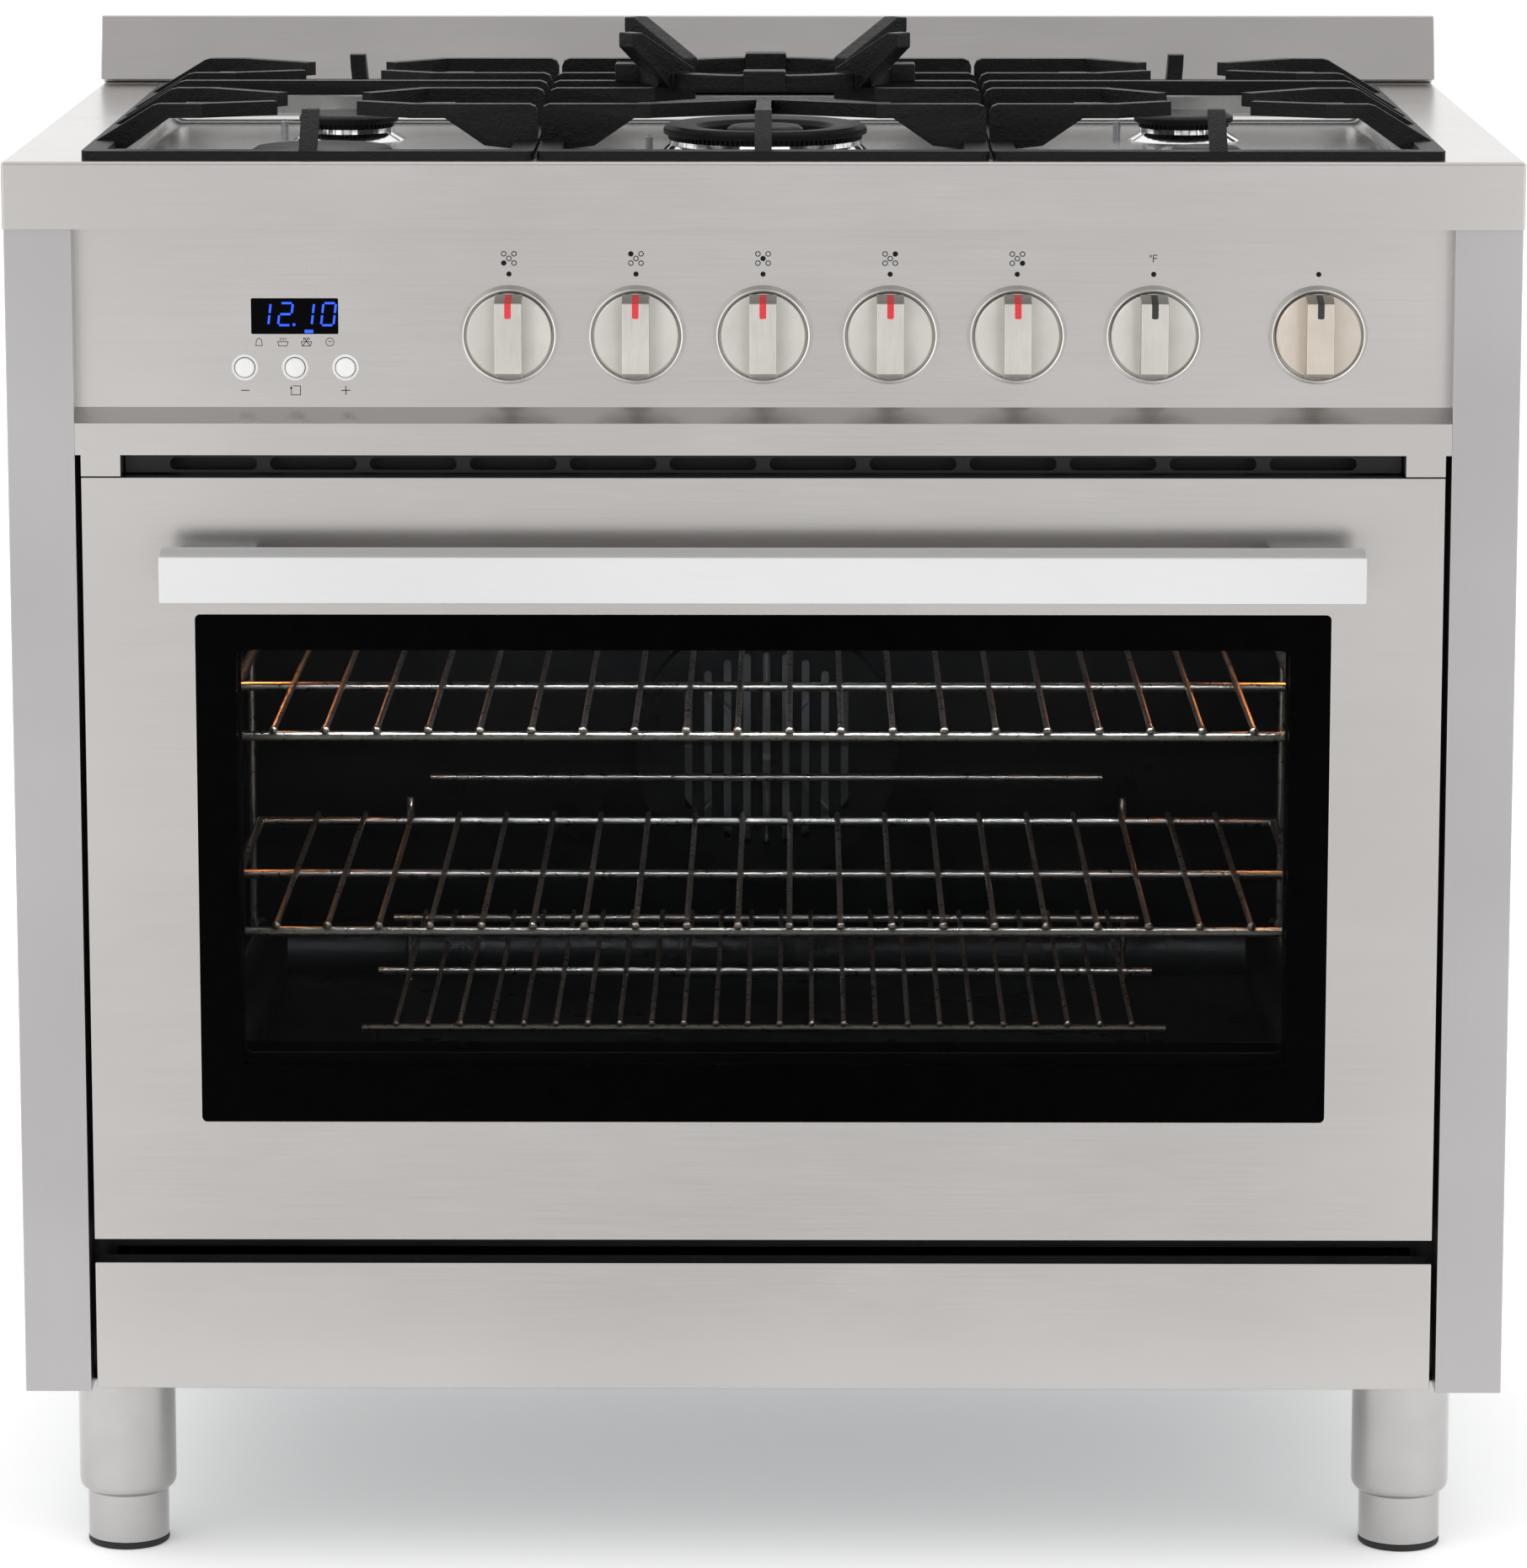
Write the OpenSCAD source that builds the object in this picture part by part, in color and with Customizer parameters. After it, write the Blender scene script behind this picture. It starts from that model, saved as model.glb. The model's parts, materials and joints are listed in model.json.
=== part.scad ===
// Freestanding gas range of the 90 cm class: five burners, one oven, a storage drawer and levelling feet.
// Millimetres, +Z up, the front faces -Y. The origin is on the floor, under the centre of the whole object.
// Inside the modules y counts back from the worktop's front edge, and in_place() moves it to the origin.

/* [Overall] */
// Width of the worktop
body_w = 900; // [860:1:1100]
// Depth of the worktop, front edge to back edge
body_d = 600; // [580:1:740]
// Height of the body, side panel bottoms to worktop surface
body_h = 751; // [700:1:920]
// Height of the legs, floor to side panel bottoms
leg_h = 114; // [90:1:140]
// Thickness of the sheet steel
sheet = 1.5; // [1:0.1:2.5]
// Gap between pieces that move past each other
slide_gap = 0.3; // [0.2:0.1:0.8]
// Radial clearance of a shaft in its hole
shaft_gap = 0.05; // [0.02:0.01:0.1]

/* [Worktop] */
// Height of the worktop's front edge
fascia_h = 40; // [34:1:60]
// Depth of the burner well
well_depth = 22; // [16:1:28]
// Worktop surface left on each side of the well
well_side = 53; // [50:1:80]
// Worktop surface left in front of the well
well_front = 23; // [21:1:40]
// Worktop surface left behind the well
well_back = 88; // [80:1:120]
// Corner radius of the well
well_r = 12; // [4:1:30]
// Height of the backguard over the worktop
guard_h = 45; // [30:1:80]
// Depth of the backguard at its foot
guard_d = 25; // [20:1:30]
// How far the backguard's face leans back
guard_lean = 14; // [5:1:18]
// Gap under the backguard's face
guard_gap = 3; // [2:0.5:6]

/* [Front] */
// How far the front panels are set back behind the worktop's edge
front_set = 4; // [2:0.5:8]
// Width of the side panels seen from the front
side_w = 40; // [30:1:60]
// Gap between door or drawer and the side panels
side_gap = 3.5; // [2:0.5:6]
// Height of the control panel under the worktop's edge, with its lip
panel_h = 135; // [125:1:170]
// Height of the lip along the foot of the control panel
lip_h = 19; // [12:1:26]
// How far the lip stands out in front of the control panel
lip_reach = 15; // [8:1:20]
// Height of the slope over the lip
lip_slope = 8; // [4:1:14]
// Height of the vent gap over the door
vent_h = 13.5; // [10:0.5:20]
// Number of vent slots
vent_slots = 12; // [6:1:12]
// Distance from one vent slot to the next
vent_pitch = 59.7; // [56:0.1:61]
// Length of a vent slot
vent_slot_w = 52; // [40:1:54]
// Height of the drawer front
drawer_h = 79; // [70:1:100]
// Finger gap between door and drawer
finger_gap = 14.5; // [14:0.5:20]
// Gap under the drawer front
base_gap = 2; // [1:0.5:6]

/* [Door] */
// Thickness of the door
door_t = 35; // [32:1:40]
// Distance from the door's side edges to the glass
glass_in = 67; // [60:1:110]
// Distance from the door's bottom edge to the glass
glass_up = 74; // [66:1:110]
// Distance from the door's top edge to the glass
glass_drop = 83; // [76:1:95]
// Thickness of each glass
glass_t = 4; // [3:0.5:5]
// Clear window inside the glass border, sides
border_side = 24; // [18:1:40]
// Clear window inside the glass border, top
border_top = 21; // [16:1:40]
// Clear window inside the glass border, bottom
border_foot = 35; // [20:1:50]
// Height of the hinge pin over the door's bottom edge
pivot_up = 9; // [8.5:0.5:12]
// Distance of the hinge pin behind the door's face
pivot_in = 20; // [18:0.5:22]
// Radius of the hinge pin
pin_r = 4; // [3:0.5:5]
// Distance from the door's side edges to the handle's ends
handle_in = 50.5; // [16:0.5:150]
// Height of the handle's front face
handle_h = 30.7; // [20:0.1:36]
// Depth of the handle bar
handle_t = 20; // [12:1:26]
// Distance from the door's face to the handle's front
handle_out = 55; // [45:1:70]
// Distance from the door's top edge to the handle
handle_drop = 36.5; // [30:0.5:42]
// Width of a handle post
post_w = 45; // [20:1:60]
// Distance from the handle's end to its post
post_in = 8; // [4:1:30]

/* [Oven] */
// Distance from the worktop's side edges to the oven's side sheets
cavity_in = 100; // [90:1:120]
// Distance from the worktop's back edge to the oven's back sheet
cavity_behind = 124; // [114:1:174]
// Distance from the door's bottom edge to the oven's bottom sheet
cavity_up = 30; // [30:1:44]
// Distance from the door's top edge to the oven's top sheet
cavity_drop = 60; // [52:1:70]
// Height of the floor plate over the bottom sheet
floor_up = 38; // [34:1:50]
// Thickness of the insulation
wool_t = 24; // [15:1:25]
// Height of the lower rack over the floor plate
rack_low = 107; // [96:1:140]
// Height of the upper rack over the floor plate
rack_high = 229; // [216:1:250]
// Depth of the broiler tray
tray_h = 38; // [20:1:38]
// Number of long wires in a rack
rack_wires = 20; // [12:1:24]
// Distance from the middle of a rack's side bar to its first long wire
rack_side = 38.75; // [20:0.25:60]
// Distance of the racks behind the oven's front edge
rack_in = 35; // [35:1:60]
// Width of the guard at the back of the lower rack
guard_wire_w = 475; // [200:1:600]
// Height of that guard over the rack
guard_wire_h = 30; // [20:1:40]
// Width of the grid in the broiler tray
grid_w = 496; // [300:1:560]
// Radius of the fan cover
fan_r = 88; // [70:1:110]
// Depth of the fan cover
fan_depth = 30; // [28:1:40]

/* [Grates and burners] */
// Distance of the front burners behind the well's front edge
burner_in_front = 123; // [117:1:137]
// Distance of the rear burners in front of the well's back edge
burner_in_back = 124; // [117:1:142]
// How far the grates reach over the sides of the well
grate_rim = 7; // [5:0.5:20]
// How far the grates reach over the front and the back of the well
grate_over = 8; // [5:0.5:14]
// Gap between two grates
grate_gap = 2; // [1:0.5:6]
// Height of a grate over the worktop
grate_h = 27; // [22:1:40]
// Thickness of the grate's cross pieces
web_t = 9; // [6:0.5:12]
// Width of the grate's front and rear posts
post_t = 10; // [7:0.5:16]
// Inner radius of the wok ring
wok_r = 68; // [60:1:80]
// Height of the wok ring's arms over the grate
wok_h = 35; // [25:1:45]

/* [Controls] */
// Height of the knobs over the foot of the control panel
knob_up = 70.5; // [60:0.5:80]
// Distance from one burner knob to the next
knob_pitch = 75.5; // [66:0.5:80]
// Distance of the oven knob from the middle
oven_knob_x = 232; // [215:1:245]
// Distance of the selector knob from the middle
selector_x = 330; // [300:1:335]
// Radius of a knob
knob_r = 25.5; // [20:0.5:29]
// How far a knob's round face stands in front of its ring
knob_d = 1.5; // [0.5:0.5:6]
// Depth of a knob's grip
grip_d = 15.5; // [12:0.5:20]
// Width of a knob's grip
grip_w = 16.5; // [10:0.5:20]
// Radius of the ring round a knob
bezel_r = 29.5; // [24:0.5:32]
// Radius of a valve's spindle
spindle_r = 4; // [3:0.5:5]
// Distance of the clock from the middle
clock_x = 278.7; // [270:0.1:290]
// Distance between two clock buttons
button_pitch = 30; // [24:1:34]
// Radius of a clock button
button_r = 5.8; // [4:0.1:7]
// Travel of a clock button
button_travel = 1.5; // [1:0.1:2.5]

/* [Legs] */
// Distance of the leg axes from the worktop's side edges
leg_in_x = 55; // [45:1:80]
// Distance of the front leg axes from the worktop's front edge
leg_in_front = 72; // [60:1:100]
// Distance of the rear leg axes from the worktop's back edge
leg_in_back = 85; // [75:1:120]
// Outer radius of a leg's sleeve
sleeve_r = 30; // [26:1:34]
// Outer radius of a foot
foot_r = 25; // [20:1:26]
// Height of the foot seen under the sleeve, with its pad
foot_show = 34; // [20:1:45]

/* [Gas] */
// Radius of the gas inlet's thread
inlet_r = 10.5; // [8:0.1:13.5]
// Length of the gas inlet behind the rear panel
inlet_l = 20; // [14:1:22]
// Spacing of the wall bracket's screw holes
bracket_pitch = 120; // [60:1:200]
// Radius of the wall bracket's screw holes
bracket_r = 3.5; // [2:0.1:5]

/* [Hidden] */
$fn = 64;
eps = 0.01;
grid_clear = 0.05;
front_y = handle_out - front_set - (body_d + handle_out - front_set) / 2;
cook_z = leg_h + body_h;
fascia_z = cook_z - fascia_h;
well_z = cook_z - well_depth;
lip_z = fascia_z - panel_h;
face_y = front_set + lip_reach;
back_y = body_d - guard_d;
body_x = body_w / 2;
skin_x = body_x - 0.5;
open_x = skin_x - side_w;
door_x = open_x - side_gap;
door_top = lip_z - vent_h;
drawer_z = leg_h + base_gap;
door_z = drawer_z + drawer_h + finger_gap;
door_back = front_set + door_t;
seal_t = 5;
frame_y = door_back + seal_t;
cavity_y = frame_y + 2;
cavity_x = body_x - cavity_in;
cavity_back = body_d - cavity_behind;
cavity_z = door_z + cavity_up;
cavity_top = door_top - cavity_drop;
floor_z = cavity_z + floor_up;
glass_top = door_top - glass_drop;
glass_foot = door_z + glass_up;
glass_x = door_x - glass_in;
window_x = glass_x - border_side;
window_top = glass_top - border_top;
window_foot = glass_foot + border_foot;
pivot = [front_set + pivot_in, door_z + pivot_up];
hinge_x = door_x - 60;
arm_t = 4;
handle_x = door_x - handle_in;
handle_top = door_top - handle_drop;
rack_r = 3;
wire_r = 1.8;
rack_x = cavity_x - 12;
rail_x = cavity_x - 10;
rack_y0 = cavity_y + rack_in;
rack_y1 = cavity_back - fan_depth - 6;
wire_pitch = 2 * (rack_x - rack_side) / (rack_wires - 1);
wire_z = rack_r + wire_r - 0.5;
low_z = floor_z + rack_low;
high_z = floor_z + rack_high;
tray_z = floor_z + 40;
fan_z = (floor_z + cavity_top) / 2 - 15;
lamp_x = cavity_x - 60;
lamp_z = cavity_top - 45;
lamp_r = 20;
shaft_r = 4;
knob_z = lip_z + knob_up;
knob_xs = [for (i = [-2:2]) i * knob_pitch];
all_knobs = concat(knob_xs, [oven_knob_x, selector_x]);
bezel_d = 6;
bezel_y = face_y - bezel_d;
dial_y = bezel_y - knob_d;
grip_y = dial_y - grip_d;
grip_lean = 4;
spindle_y = grip_y + 5;
valve_y = face_y + 34;
module_y = face_y + sheet + 0.2;
button_z = lip_z + 50.8;
button_xs = [for (i = [-1:1]) -clock_x + i * button_pitch];
display_size = [52, 21.5];
display_z = lip_z + 81.5;
leg_spots = [[-body_x + leg_in_x, leg_in_front], [body_x - leg_in_x, leg_in_front],
             [-body_x + leg_in_x, body_d - leg_in_back], [body_x - leg_in_x, body_d - leg_in_back]];
pad_h = 4;
foot_top = leg_h - 31;
runner_x = open_x - 14;
drawer_x = runner_x - 4;
drawer_back = back_y - 60;
inlet_x = body_x - 50;
inlet_y = back_y + sheet + 1;
inlet_z = knob_z;
pipe_r = 8;
bracket_z = fascia_z - 60;
well_back_y = body_d - well_back;
grate_w = (body_w - 2 * well_side + 2 * grate_rim - 2 * grate_gap) / 3;
grate_pitch = grate_w + grate_gap;
grate_front = well_front - grate_over;
grate_back = well_back_y + grate_over;
burner_front = well_front + burner_in_front;
burner_rear = well_back_y - burner_in_back;
web_ys = [burner_front - 55, burner_front + 63, burner_rear - 59, burner_rear + 62];
bar_y = (burner_front + burner_rear) / 2;
rail_h = 5;
rail_w = 14;
finger_h = 8.5;
// each burner: x, y, cap radius, crown top radius, crown foot radius
burners = [[-grate_pitch, burner_front, 43, 39, 48], [-grate_pitch, burner_rear, 32, 29, 39],
           [0, bar_y, 64, 60, 71],
           [grate_pitch, burner_rear, 32, 29, 39], [grate_pitch, burner_front, 21.5, 19, 27]];
crown_h = 13;
cap_h = 6;
spark_r = 2.4;
// place of a burner's spark electrode, to the left of its crown
function spark(b) = [b.x - (b[4] + 5) * cos(15), b.y + (b[4] + 5) * sin(15)];
spigot_r = 10;

// ---- shared shapes

module in_place() translate([0, front_y, 0]) children();

// box between two opposite corners
module span(a, b) translate(a) cube(b - a);

// the same piece on the left and on the right
module both_sides() {
  children();
  mirror([1, 0, 0]) children();
}

// an outline in y and z, extruded along x
module along_x(x0, x1) translate([x0, 0, 0]) rotate([90, 0, 90]) linear_extrude(x1 - x0) children();

// an outline in x and z, extruded along y
module along_y(y0, y1) translate([0, y1, 0]) rotate([90, 0, 0]) linear_extrude(y1 - y0) children();

// round bar between two points
module bar(a, b, r) {
  v = b - a;
  translate(a) rotate([0, acos(v.z / norm(v)), atan2(v.y, v.x)]) cylinder(r = r, h = norm(v), $fn = 32);
}

// round bar that points to the front, from y1 to y0
module peg(x, z, y0, y1, r) translate([x, y1, z]) rotate([90, 0, 0]) cylinder(r = r, h = y1 - y0);

// rectangle with round corners, from one corner to the other
module rounded(a, b, r) {
  translate([a.x + r, a.y]) square([b.x - a.x - 2 * r, b.y - a.y]);
  translate([a.x, a.y + r]) square([b.x - a.x, b.y - a.y - 2 * r]);
  for (x = [a.x + r, b.x - r], y = [a.y + r, b.y - r]) translate([x, y]) circle(r);
}

// flat upright plate between two points of the plan
module plate(a, b, t, z0, z1) {
  d = (b - a) / norm(b - a);
  n = [-d.y, d.x] * t / 2;
  translate([0, 0, z0]) linear_extrude(z1 - z0) polygon([a - n, b - n, b + n, a + n]);
}

// ---- body shell

module well_outline(grow) rounded([-body_x + well_side - grow, well_front - grow],
                                  [body_x - well_side + grow, well_back_y + grow], well_r + grow);

module worktop() color("#c4c3c1") in_place() difference() {
  span([-body_x, 0, fascia_z], [body_x, body_d, cook_z]);
  difference() {
    span([-body_x + sheet, sheet, fascia_z - 1], [body_x - sheet, body_d - sheet, cook_z - sheet]);
    translate([0, 0, well_z - sheet]) linear_extrude(well_depth + 1) well_outline(sheet);
  }
  translate([0, 0, well_z]) linear_extrude(well_depth + 1) well_outline(0);
  for (b = burners) {
    translate([b.x, b.y, well_z - 5]) cylinder(r = b[3] - 5.5, h = 10);
    translate([spark(b).x, spark(b).y, well_z - 5]) cylinder(r = spark_r + 0.8, h = 10);
  }
}

module backguard() color("#bcbbb9") in_place() difference() {
  along_x(-body_x, body_x) polygon([[back_y, cook_z + guard_gap], [back_y + guard_lean, cook_z + guard_h],
    [body_d, cook_z + guard_h], [body_d, cook_z], [body_d - 8, cook_z], [body_d - 8, cook_z + guard_gap]]);
  along_x(-body_x + sheet, body_x - sheet) polygon([
    [back_y + 2 * sheet, cook_z + guard_gap + sheet],
    [back_y + guard_lean + sheet, cook_z + guard_h - sheet],
    [body_d - sheet, cook_z + guard_h - sheet], [body_d - sheet, cook_z + guard_gap + sheet]]);
}

module side_panel() translate([0, 0, leg_h]) linear_extrude(fascia_z - leg_h) polygon([
  [skin_x, front_set], [skin_x, back_y], [skin_x - 14, back_y], [skin_x - 14, back_y - sheet],
  [skin_x - sheet, back_y - sheet], [skin_x - sheet, front_set + sheet],
  [open_x + sheet, front_set + sheet], [open_x + sheet, front_set + 22],
  [open_x, front_set + 22], [open_x, front_set]]);

module side_panel_right() color("#b5b4b2") in_place() side_panel();

module side_panel_left() color("#b5b4b2") in_place() mirror([1, 0, 0]) side_panel();

module rear_panel() color("#9d9c9a") in_place() difference() {
  span([-skin_x + sheet, back_y, leg_h], [skin_x - sheet, back_y + sheet, cook_z - sheet]);
  peg(inlet_x, inlet_z, back_y - 1, back_y + 5, inlet_r + 1);
  for (x = [-bracket_pitch / 2, bracket_pitch / 2]) peg(x, bracket_z, back_y - 1, back_y + 5, bracket_r);
  for (x = [-6:6]) along_y(back_y - 1, back_y + 5)
    rounded([x * 40 - 14, fan_z + 150], [x * 40 + 14, fan_z + 156], 2.9);
}

module base_pan() color("#8f8e8c") in_place() {
  span([-skin_x + sheet, front_set + 24, leg_h],
       [skin_x - sheet, back_y - sheet - slide_gap, leg_h + sheet]);
  span([-skin_x + 15, front_set + 24, leg_h], [skin_x - 15, back_y, leg_h + sheet]);
  both_sides() span([skin_x - 2 * sheet, front_set + 24, leg_h],
                    [skin_x - sheet, back_y - 2 * sheet, leg_h + 18]);
}

// slotted strip over the door
module vent_strip() difference() {
  union() {
    span([-door_x + 25, face_y + 1, door_top + 1], [door_x - 25, face_y + 1 + sheet, lip_z - 0.5]);
    span([-door_x + 25, face_y + 1, lip_z - 0.5 - sheet], [door_x - 25, frame_y + 1, lip_z - 0.5]);
  }
  for (i = [0:vent_slots - 1]) {
    x = (i - (vent_slots - 1) / 2) * vent_pitch;
    along_y(face_y, face_y + 4)
      rounded([x - vent_slot_w / 2, door_top + 2.6], [x + vent_slot_w / 2, lip_z - 3.4], 3.6);
  }
}

// receiver with the door's hinge pin
module hinge_receiver() {
  x = hinge_x + arm_t + 1;
  span([x, pivot.x - 6, pivot.y - 6], [x + 6, frame_y + eps, pivot.y + 6]);
  translate([hinge_x - 2, pivot.x, pivot.y]) rotate([0, 90, 0]) cylinder(r = pin_r, h = x - hinge_x + 4);
}

module front_frame() color("#2c2c2d") in_place() {
  difference() {
    span([-skin_x + 3, frame_y, leg_h + sheet], [skin_x - 3, cavity_y, fascia_z]);
    along_y(frame_y - 1, cavity_y + 1) rounded([-cavity_x, cavity_z], [cavity_x, cavity_top], 8);
    span([-runner_x - 1, frame_y - 1, leg_h + sheet - 1],
         [runner_x + 1, cavity_y + 1, drawer_z + drawer_h]);
    both_sides() span([open_x + 4, frame_y - 1, leg_h + sheet + 20], [skin_x, cavity_y + 1, fascia_z - 20]);
    span([-body_x + 90, frame_y - 1, lip_z + 20], [body_x - 90, cavity_y + 1, fascia_z - 12]);
    both_sides() span([inlet_x - 12, frame_y - 1, inlet_z - 12],
                      [inlet_x + 12, cavity_y + 1, inlet_z + 12]);
  }
  vent_strip();
  both_sides() hinge_receiver();
}

module panel_outline() polygon([[front_set, lip_z], [front_set, lip_z + lip_h],
  [face_y, lip_z + lip_h + lip_slope], [face_y, fascia_z + fascia_h * 0.7],
  [face_y + sheet, fascia_z + fascia_h * 0.7], [face_y + sheet, lip_z + lip_h + lip_slope - 1],
  [front_set + sheet, lip_z + lip_h - 1], [front_set + sheet, lip_z + sheet],
  [frame_y, lip_z + sheet], [frame_y, lip_z]]);

module control_panel() color("#bfbebc") in_place() {
  difference() {
    along_x(-open_x, open_x) panel_outline();
    for (x = all_knobs) peg(x, knob_z, face_y - 1, face_y + 5, spindle_r + 4);
    for (x = button_xs) peg(x, button_z, face_y - 1, face_y + 5, button_r + slide_gap);
    along_y(face_y - 1, face_y + 5) rounded(
      [-clock_x - display_size.x / 2 - 0.2, display_z - display_size.y / 2 - 0.2],
      [-clock_x + display_size.x / 2 + 0.2, display_z + display_size.y / 2 + 0.2], 1);
  }
  both_sides() span([door_x - 23.5, front_set, door_top + 0.8], [door_x, door_back, lip_z + eps]);
}

// ---- oven

module oven_cavity() color("#1b1b1c") in_place() difference() {
  span([-cavity_x - sheet, cavity_y, cavity_z - sheet],
       [cavity_x + sheet, cavity_back + sheet, cavity_top + sheet]);
  span([-cavity_x, cavity_y - 1, cavity_z], [cavity_x, cavity_back, cavity_top]);
  peg(0, fan_z, cavity_back - 1, cavity_back + 5, shaft_r + 3);
  both_sides() peg(lamp_x, lamp_z, cavity_back - 1, cavity_back + 5, lamp_r + 0.5);
}

module oven_floor() color("#1f1f20") in_place() difference() {
  union() {
    span([-cavity_x + 1, cavity_y + 6, floor_z - sheet], [cavity_x - 1, cavity_back - 1, floor_z]);
    both_sides() span([cavity_x - 8, cavity_y + 6, cavity_z],
                      [cavity_x - 8 + sheet, cavity_back - 1, floor_z - eps]);
  }
  for (x = [-8:8]) floor_slot(x * 36, cavity_y + 34, 12, 5);
}

// slot with round ends cut down through the floor plate
module floor_slot(x, y, w, d) translate([0, 0, floor_z - 5]) linear_extrude(10)
  rounded([x - w / 2, y - d / 2], [x + w / 2, y + d / 2], d / 2 - 0.1);

module insulation() color("#d8cf9a") in_place() difference() {
  span([-cavity_x - wool_t, cavity_y + 4, cavity_z - sheet - 18],
       [cavity_x + wool_t, cavity_back + wool_t, cavity_top + wool_t]);
  span([-cavity_x - sheet, cavity_y, cavity_z - sheet],
       [cavity_x + sheet, cavity_back + sheet, cavity_top + sheet]);
  peg(0, fan_z, cavity_back - 1, cavity_back + wool_t + 5, shaft_r + 6);
  both_sides() peg(lamp_x, lamp_z, cavity_back - 1, cavity_back + wool_t + 5, lamp_r + 4);
}

module door_seal() color("#303030") in_place() along_y(door_back + slide_gap, frame_y) difference() {
  rounded([-cavity_x - 14, cavity_z - 14], [cavity_x + 14, cavity_top + 14], 20);
  rounded([-cavity_x - 4, cavity_z - 4], [cavity_x + 4, cavity_top + 4], 10);
}

// wire frame that carries the racks and the tray on one side
module rack_ladder() {
  ys = [cavity_y + 30, (cavity_y + cavity_back) / 2, cavity_back - 20];
  for (y = ys) bar([rail_x + 4, y, floor_z + 6], [rail_x + 4, y, cavity_top - 50], 2.5);
  for (y = ys, z = [floor_z + 12, cavity_top - 60]) bar([rail_x + 4, y, z], [cavity_x, y, z], 2.5);
  for (z = [tray_z, low_z, high_z])
    bar([rail_x, cavity_y + 22, z - 2 * rack_r - slide_gap],
        [rail_x, cavity_back - 12, z - 2 * rack_r - slide_gap], rack_r);
}

module rack_ladders() color("#d4d4d6") in_place() both_sides() rack_ladder();

// oven rack: a round bar frame with long wires that lie on its cross bars
module rack(z) {
  for (y = [rack_y0, (rack_y0 + rack_y1) / 2, rack_y1]) bar([-rack_x, y, z], [rack_x, y, z], rack_r);
  for (x = [-rack_x, rack_x]) bar([x, rack_y0, z], [x, rack_y1, z], rack_r);
  for (x = [-rack_x, rack_x], y = [rack_y0, rack_y1]) translate([x, y, z]) sphere(r = rack_r + 0.05);
  for (i = [0:rack_wires - 1]) {
    x = (i - (rack_wires - 1) / 2) * wire_pitch;
    bar([x, rack_y0 - 4, z + wire_z], [x, rack_y1 + 3, z + wire_z], wire_r);
  }
}

module rack_upper() color("#d9d9db") in_place() rack(high_z);

// bent corner of the guard wire, its middle at the end of the straight stretch
module guard_corner(r) translate([0, rack_y1, 0]) rotate([90, 0, 0]) rotate_extrude(angle = 90, $fn = 48)
  translate([r, 0]) circle(2.5, $fn = 24);

module rack_lower() color("#d9d9db") in_place() {
  half = guard_wire_w / 2;
  bend = 14;
  top = low_z + guard_wire_h;
  rack(low_z);
  bar([-half + bend - eps, rack_y1, top], [half - bend + eps, rack_y1, top], 2.5);
  both_sides() {
    bar([half, rack_y1, low_z], [half, rack_y1, top - bend + eps], 2.5);
    translate([half - bend, 0, top - bend]) guard_corner(bend);
  }
}

// enamelled tray that hangs by its rim, with a wire grid standing in it
module broiler_tray() color("#202022") in_place() {
  x = rack_x - 16;
  tray_y0 = rack_y0 - rack_r;
  difference() {
    union() {
      span([-x, tray_y0, tray_z - tray_h], [x, rack_y1, tray_z - 2]);
      span([-rack_x - 1, tray_y0, tray_z - 3], [rack_x + 1, rack_y1, tray_z - sheet]);
    }
    span([-x + sheet, tray_y0 + sheet, tray_z - tray_h + sheet], [x - sheet, rack_y1 - sheet, tray_z + 1]);
  }
  tray_grid();
}

module tray_grid() {
  x = grid_w / 2;
  z = tray_z + 4;
  wires = 24;
  margin = 21;
  y0 = rack_y0 + 11;
  y1 = rack_y1 - 14;
  for (y = [y0, (y0 + y1) / 2, y1]) bar([-x, y, z], [x, y, z], 2.5);
  for (i = [0:wires - 1]) {
    wire_x = -x + margin + i * 2 * (x - margin) / (wires - 1);
    bar([wire_x, y0 - 4, z + 3.6], [wire_x, y1 + 4, z + 3.6], 1.5);
  }
  for (leg_x = [-x + 10, x - 10], y = [y0, y1])
    bar([leg_x, y, z], [leg_x, y, tray_z - tray_h + sheet + grid_clear], 2);
}

module fan_cover() color("#262628") in_place() difference() {
  peg(0, fan_z, cavity_back - fan_depth, cavity_back, fan_r);
  peg(0, fan_z, cavity_back - fan_depth + sheet, cavity_back + 1, fan_r - sheet);
  for (i = [-4:4]) along_y(cavity_back - fan_depth - 1, cavity_back - fan_depth + 3) {
    half = sqrt(pow(fan_r - 22, 2) - pow(i * 13, 2));
    rounded([i * 13 - 2.5, fan_z - half], [i * 13 + 2.5, fan_z + half], 2.4);
  }
}

module fan_blade() color("#a8a9ab") in_place() difference() {
  union() {
    peg(0, fan_z, cavity_back - 8, cavity_back - 6, fan_r - 22);
    peg(0, fan_z, cavity_back - 22, cavity_back - 6, 9);
    for (a = [0:45:315]) translate([0, 0, fan_z]) rotate([0, a, 0])
      span([30, cavity_back - 22, -0.8], [fan_r - 24, cavity_back - 7, 0.8]);
  }
  peg(0, fan_z, cavity_back - 30, cavity_back, shaft_r + shaft_gap);
}

module fan_motor() color("#8a8d90") in_place() {
  peg(0, fan_z, cavity_back - 21, cavity_back + wool_t + 20, shaft_r);
  peg(0, fan_z, cavity_back + wool_t + 1, cavity_back + wool_t + 40, 34);
  along_y(cavity_back + wool_t, cavity_back + wool_t + 1 + eps)
    rounded([-50, fan_z - 12], [50, fan_z + 12], 6);
}

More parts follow.
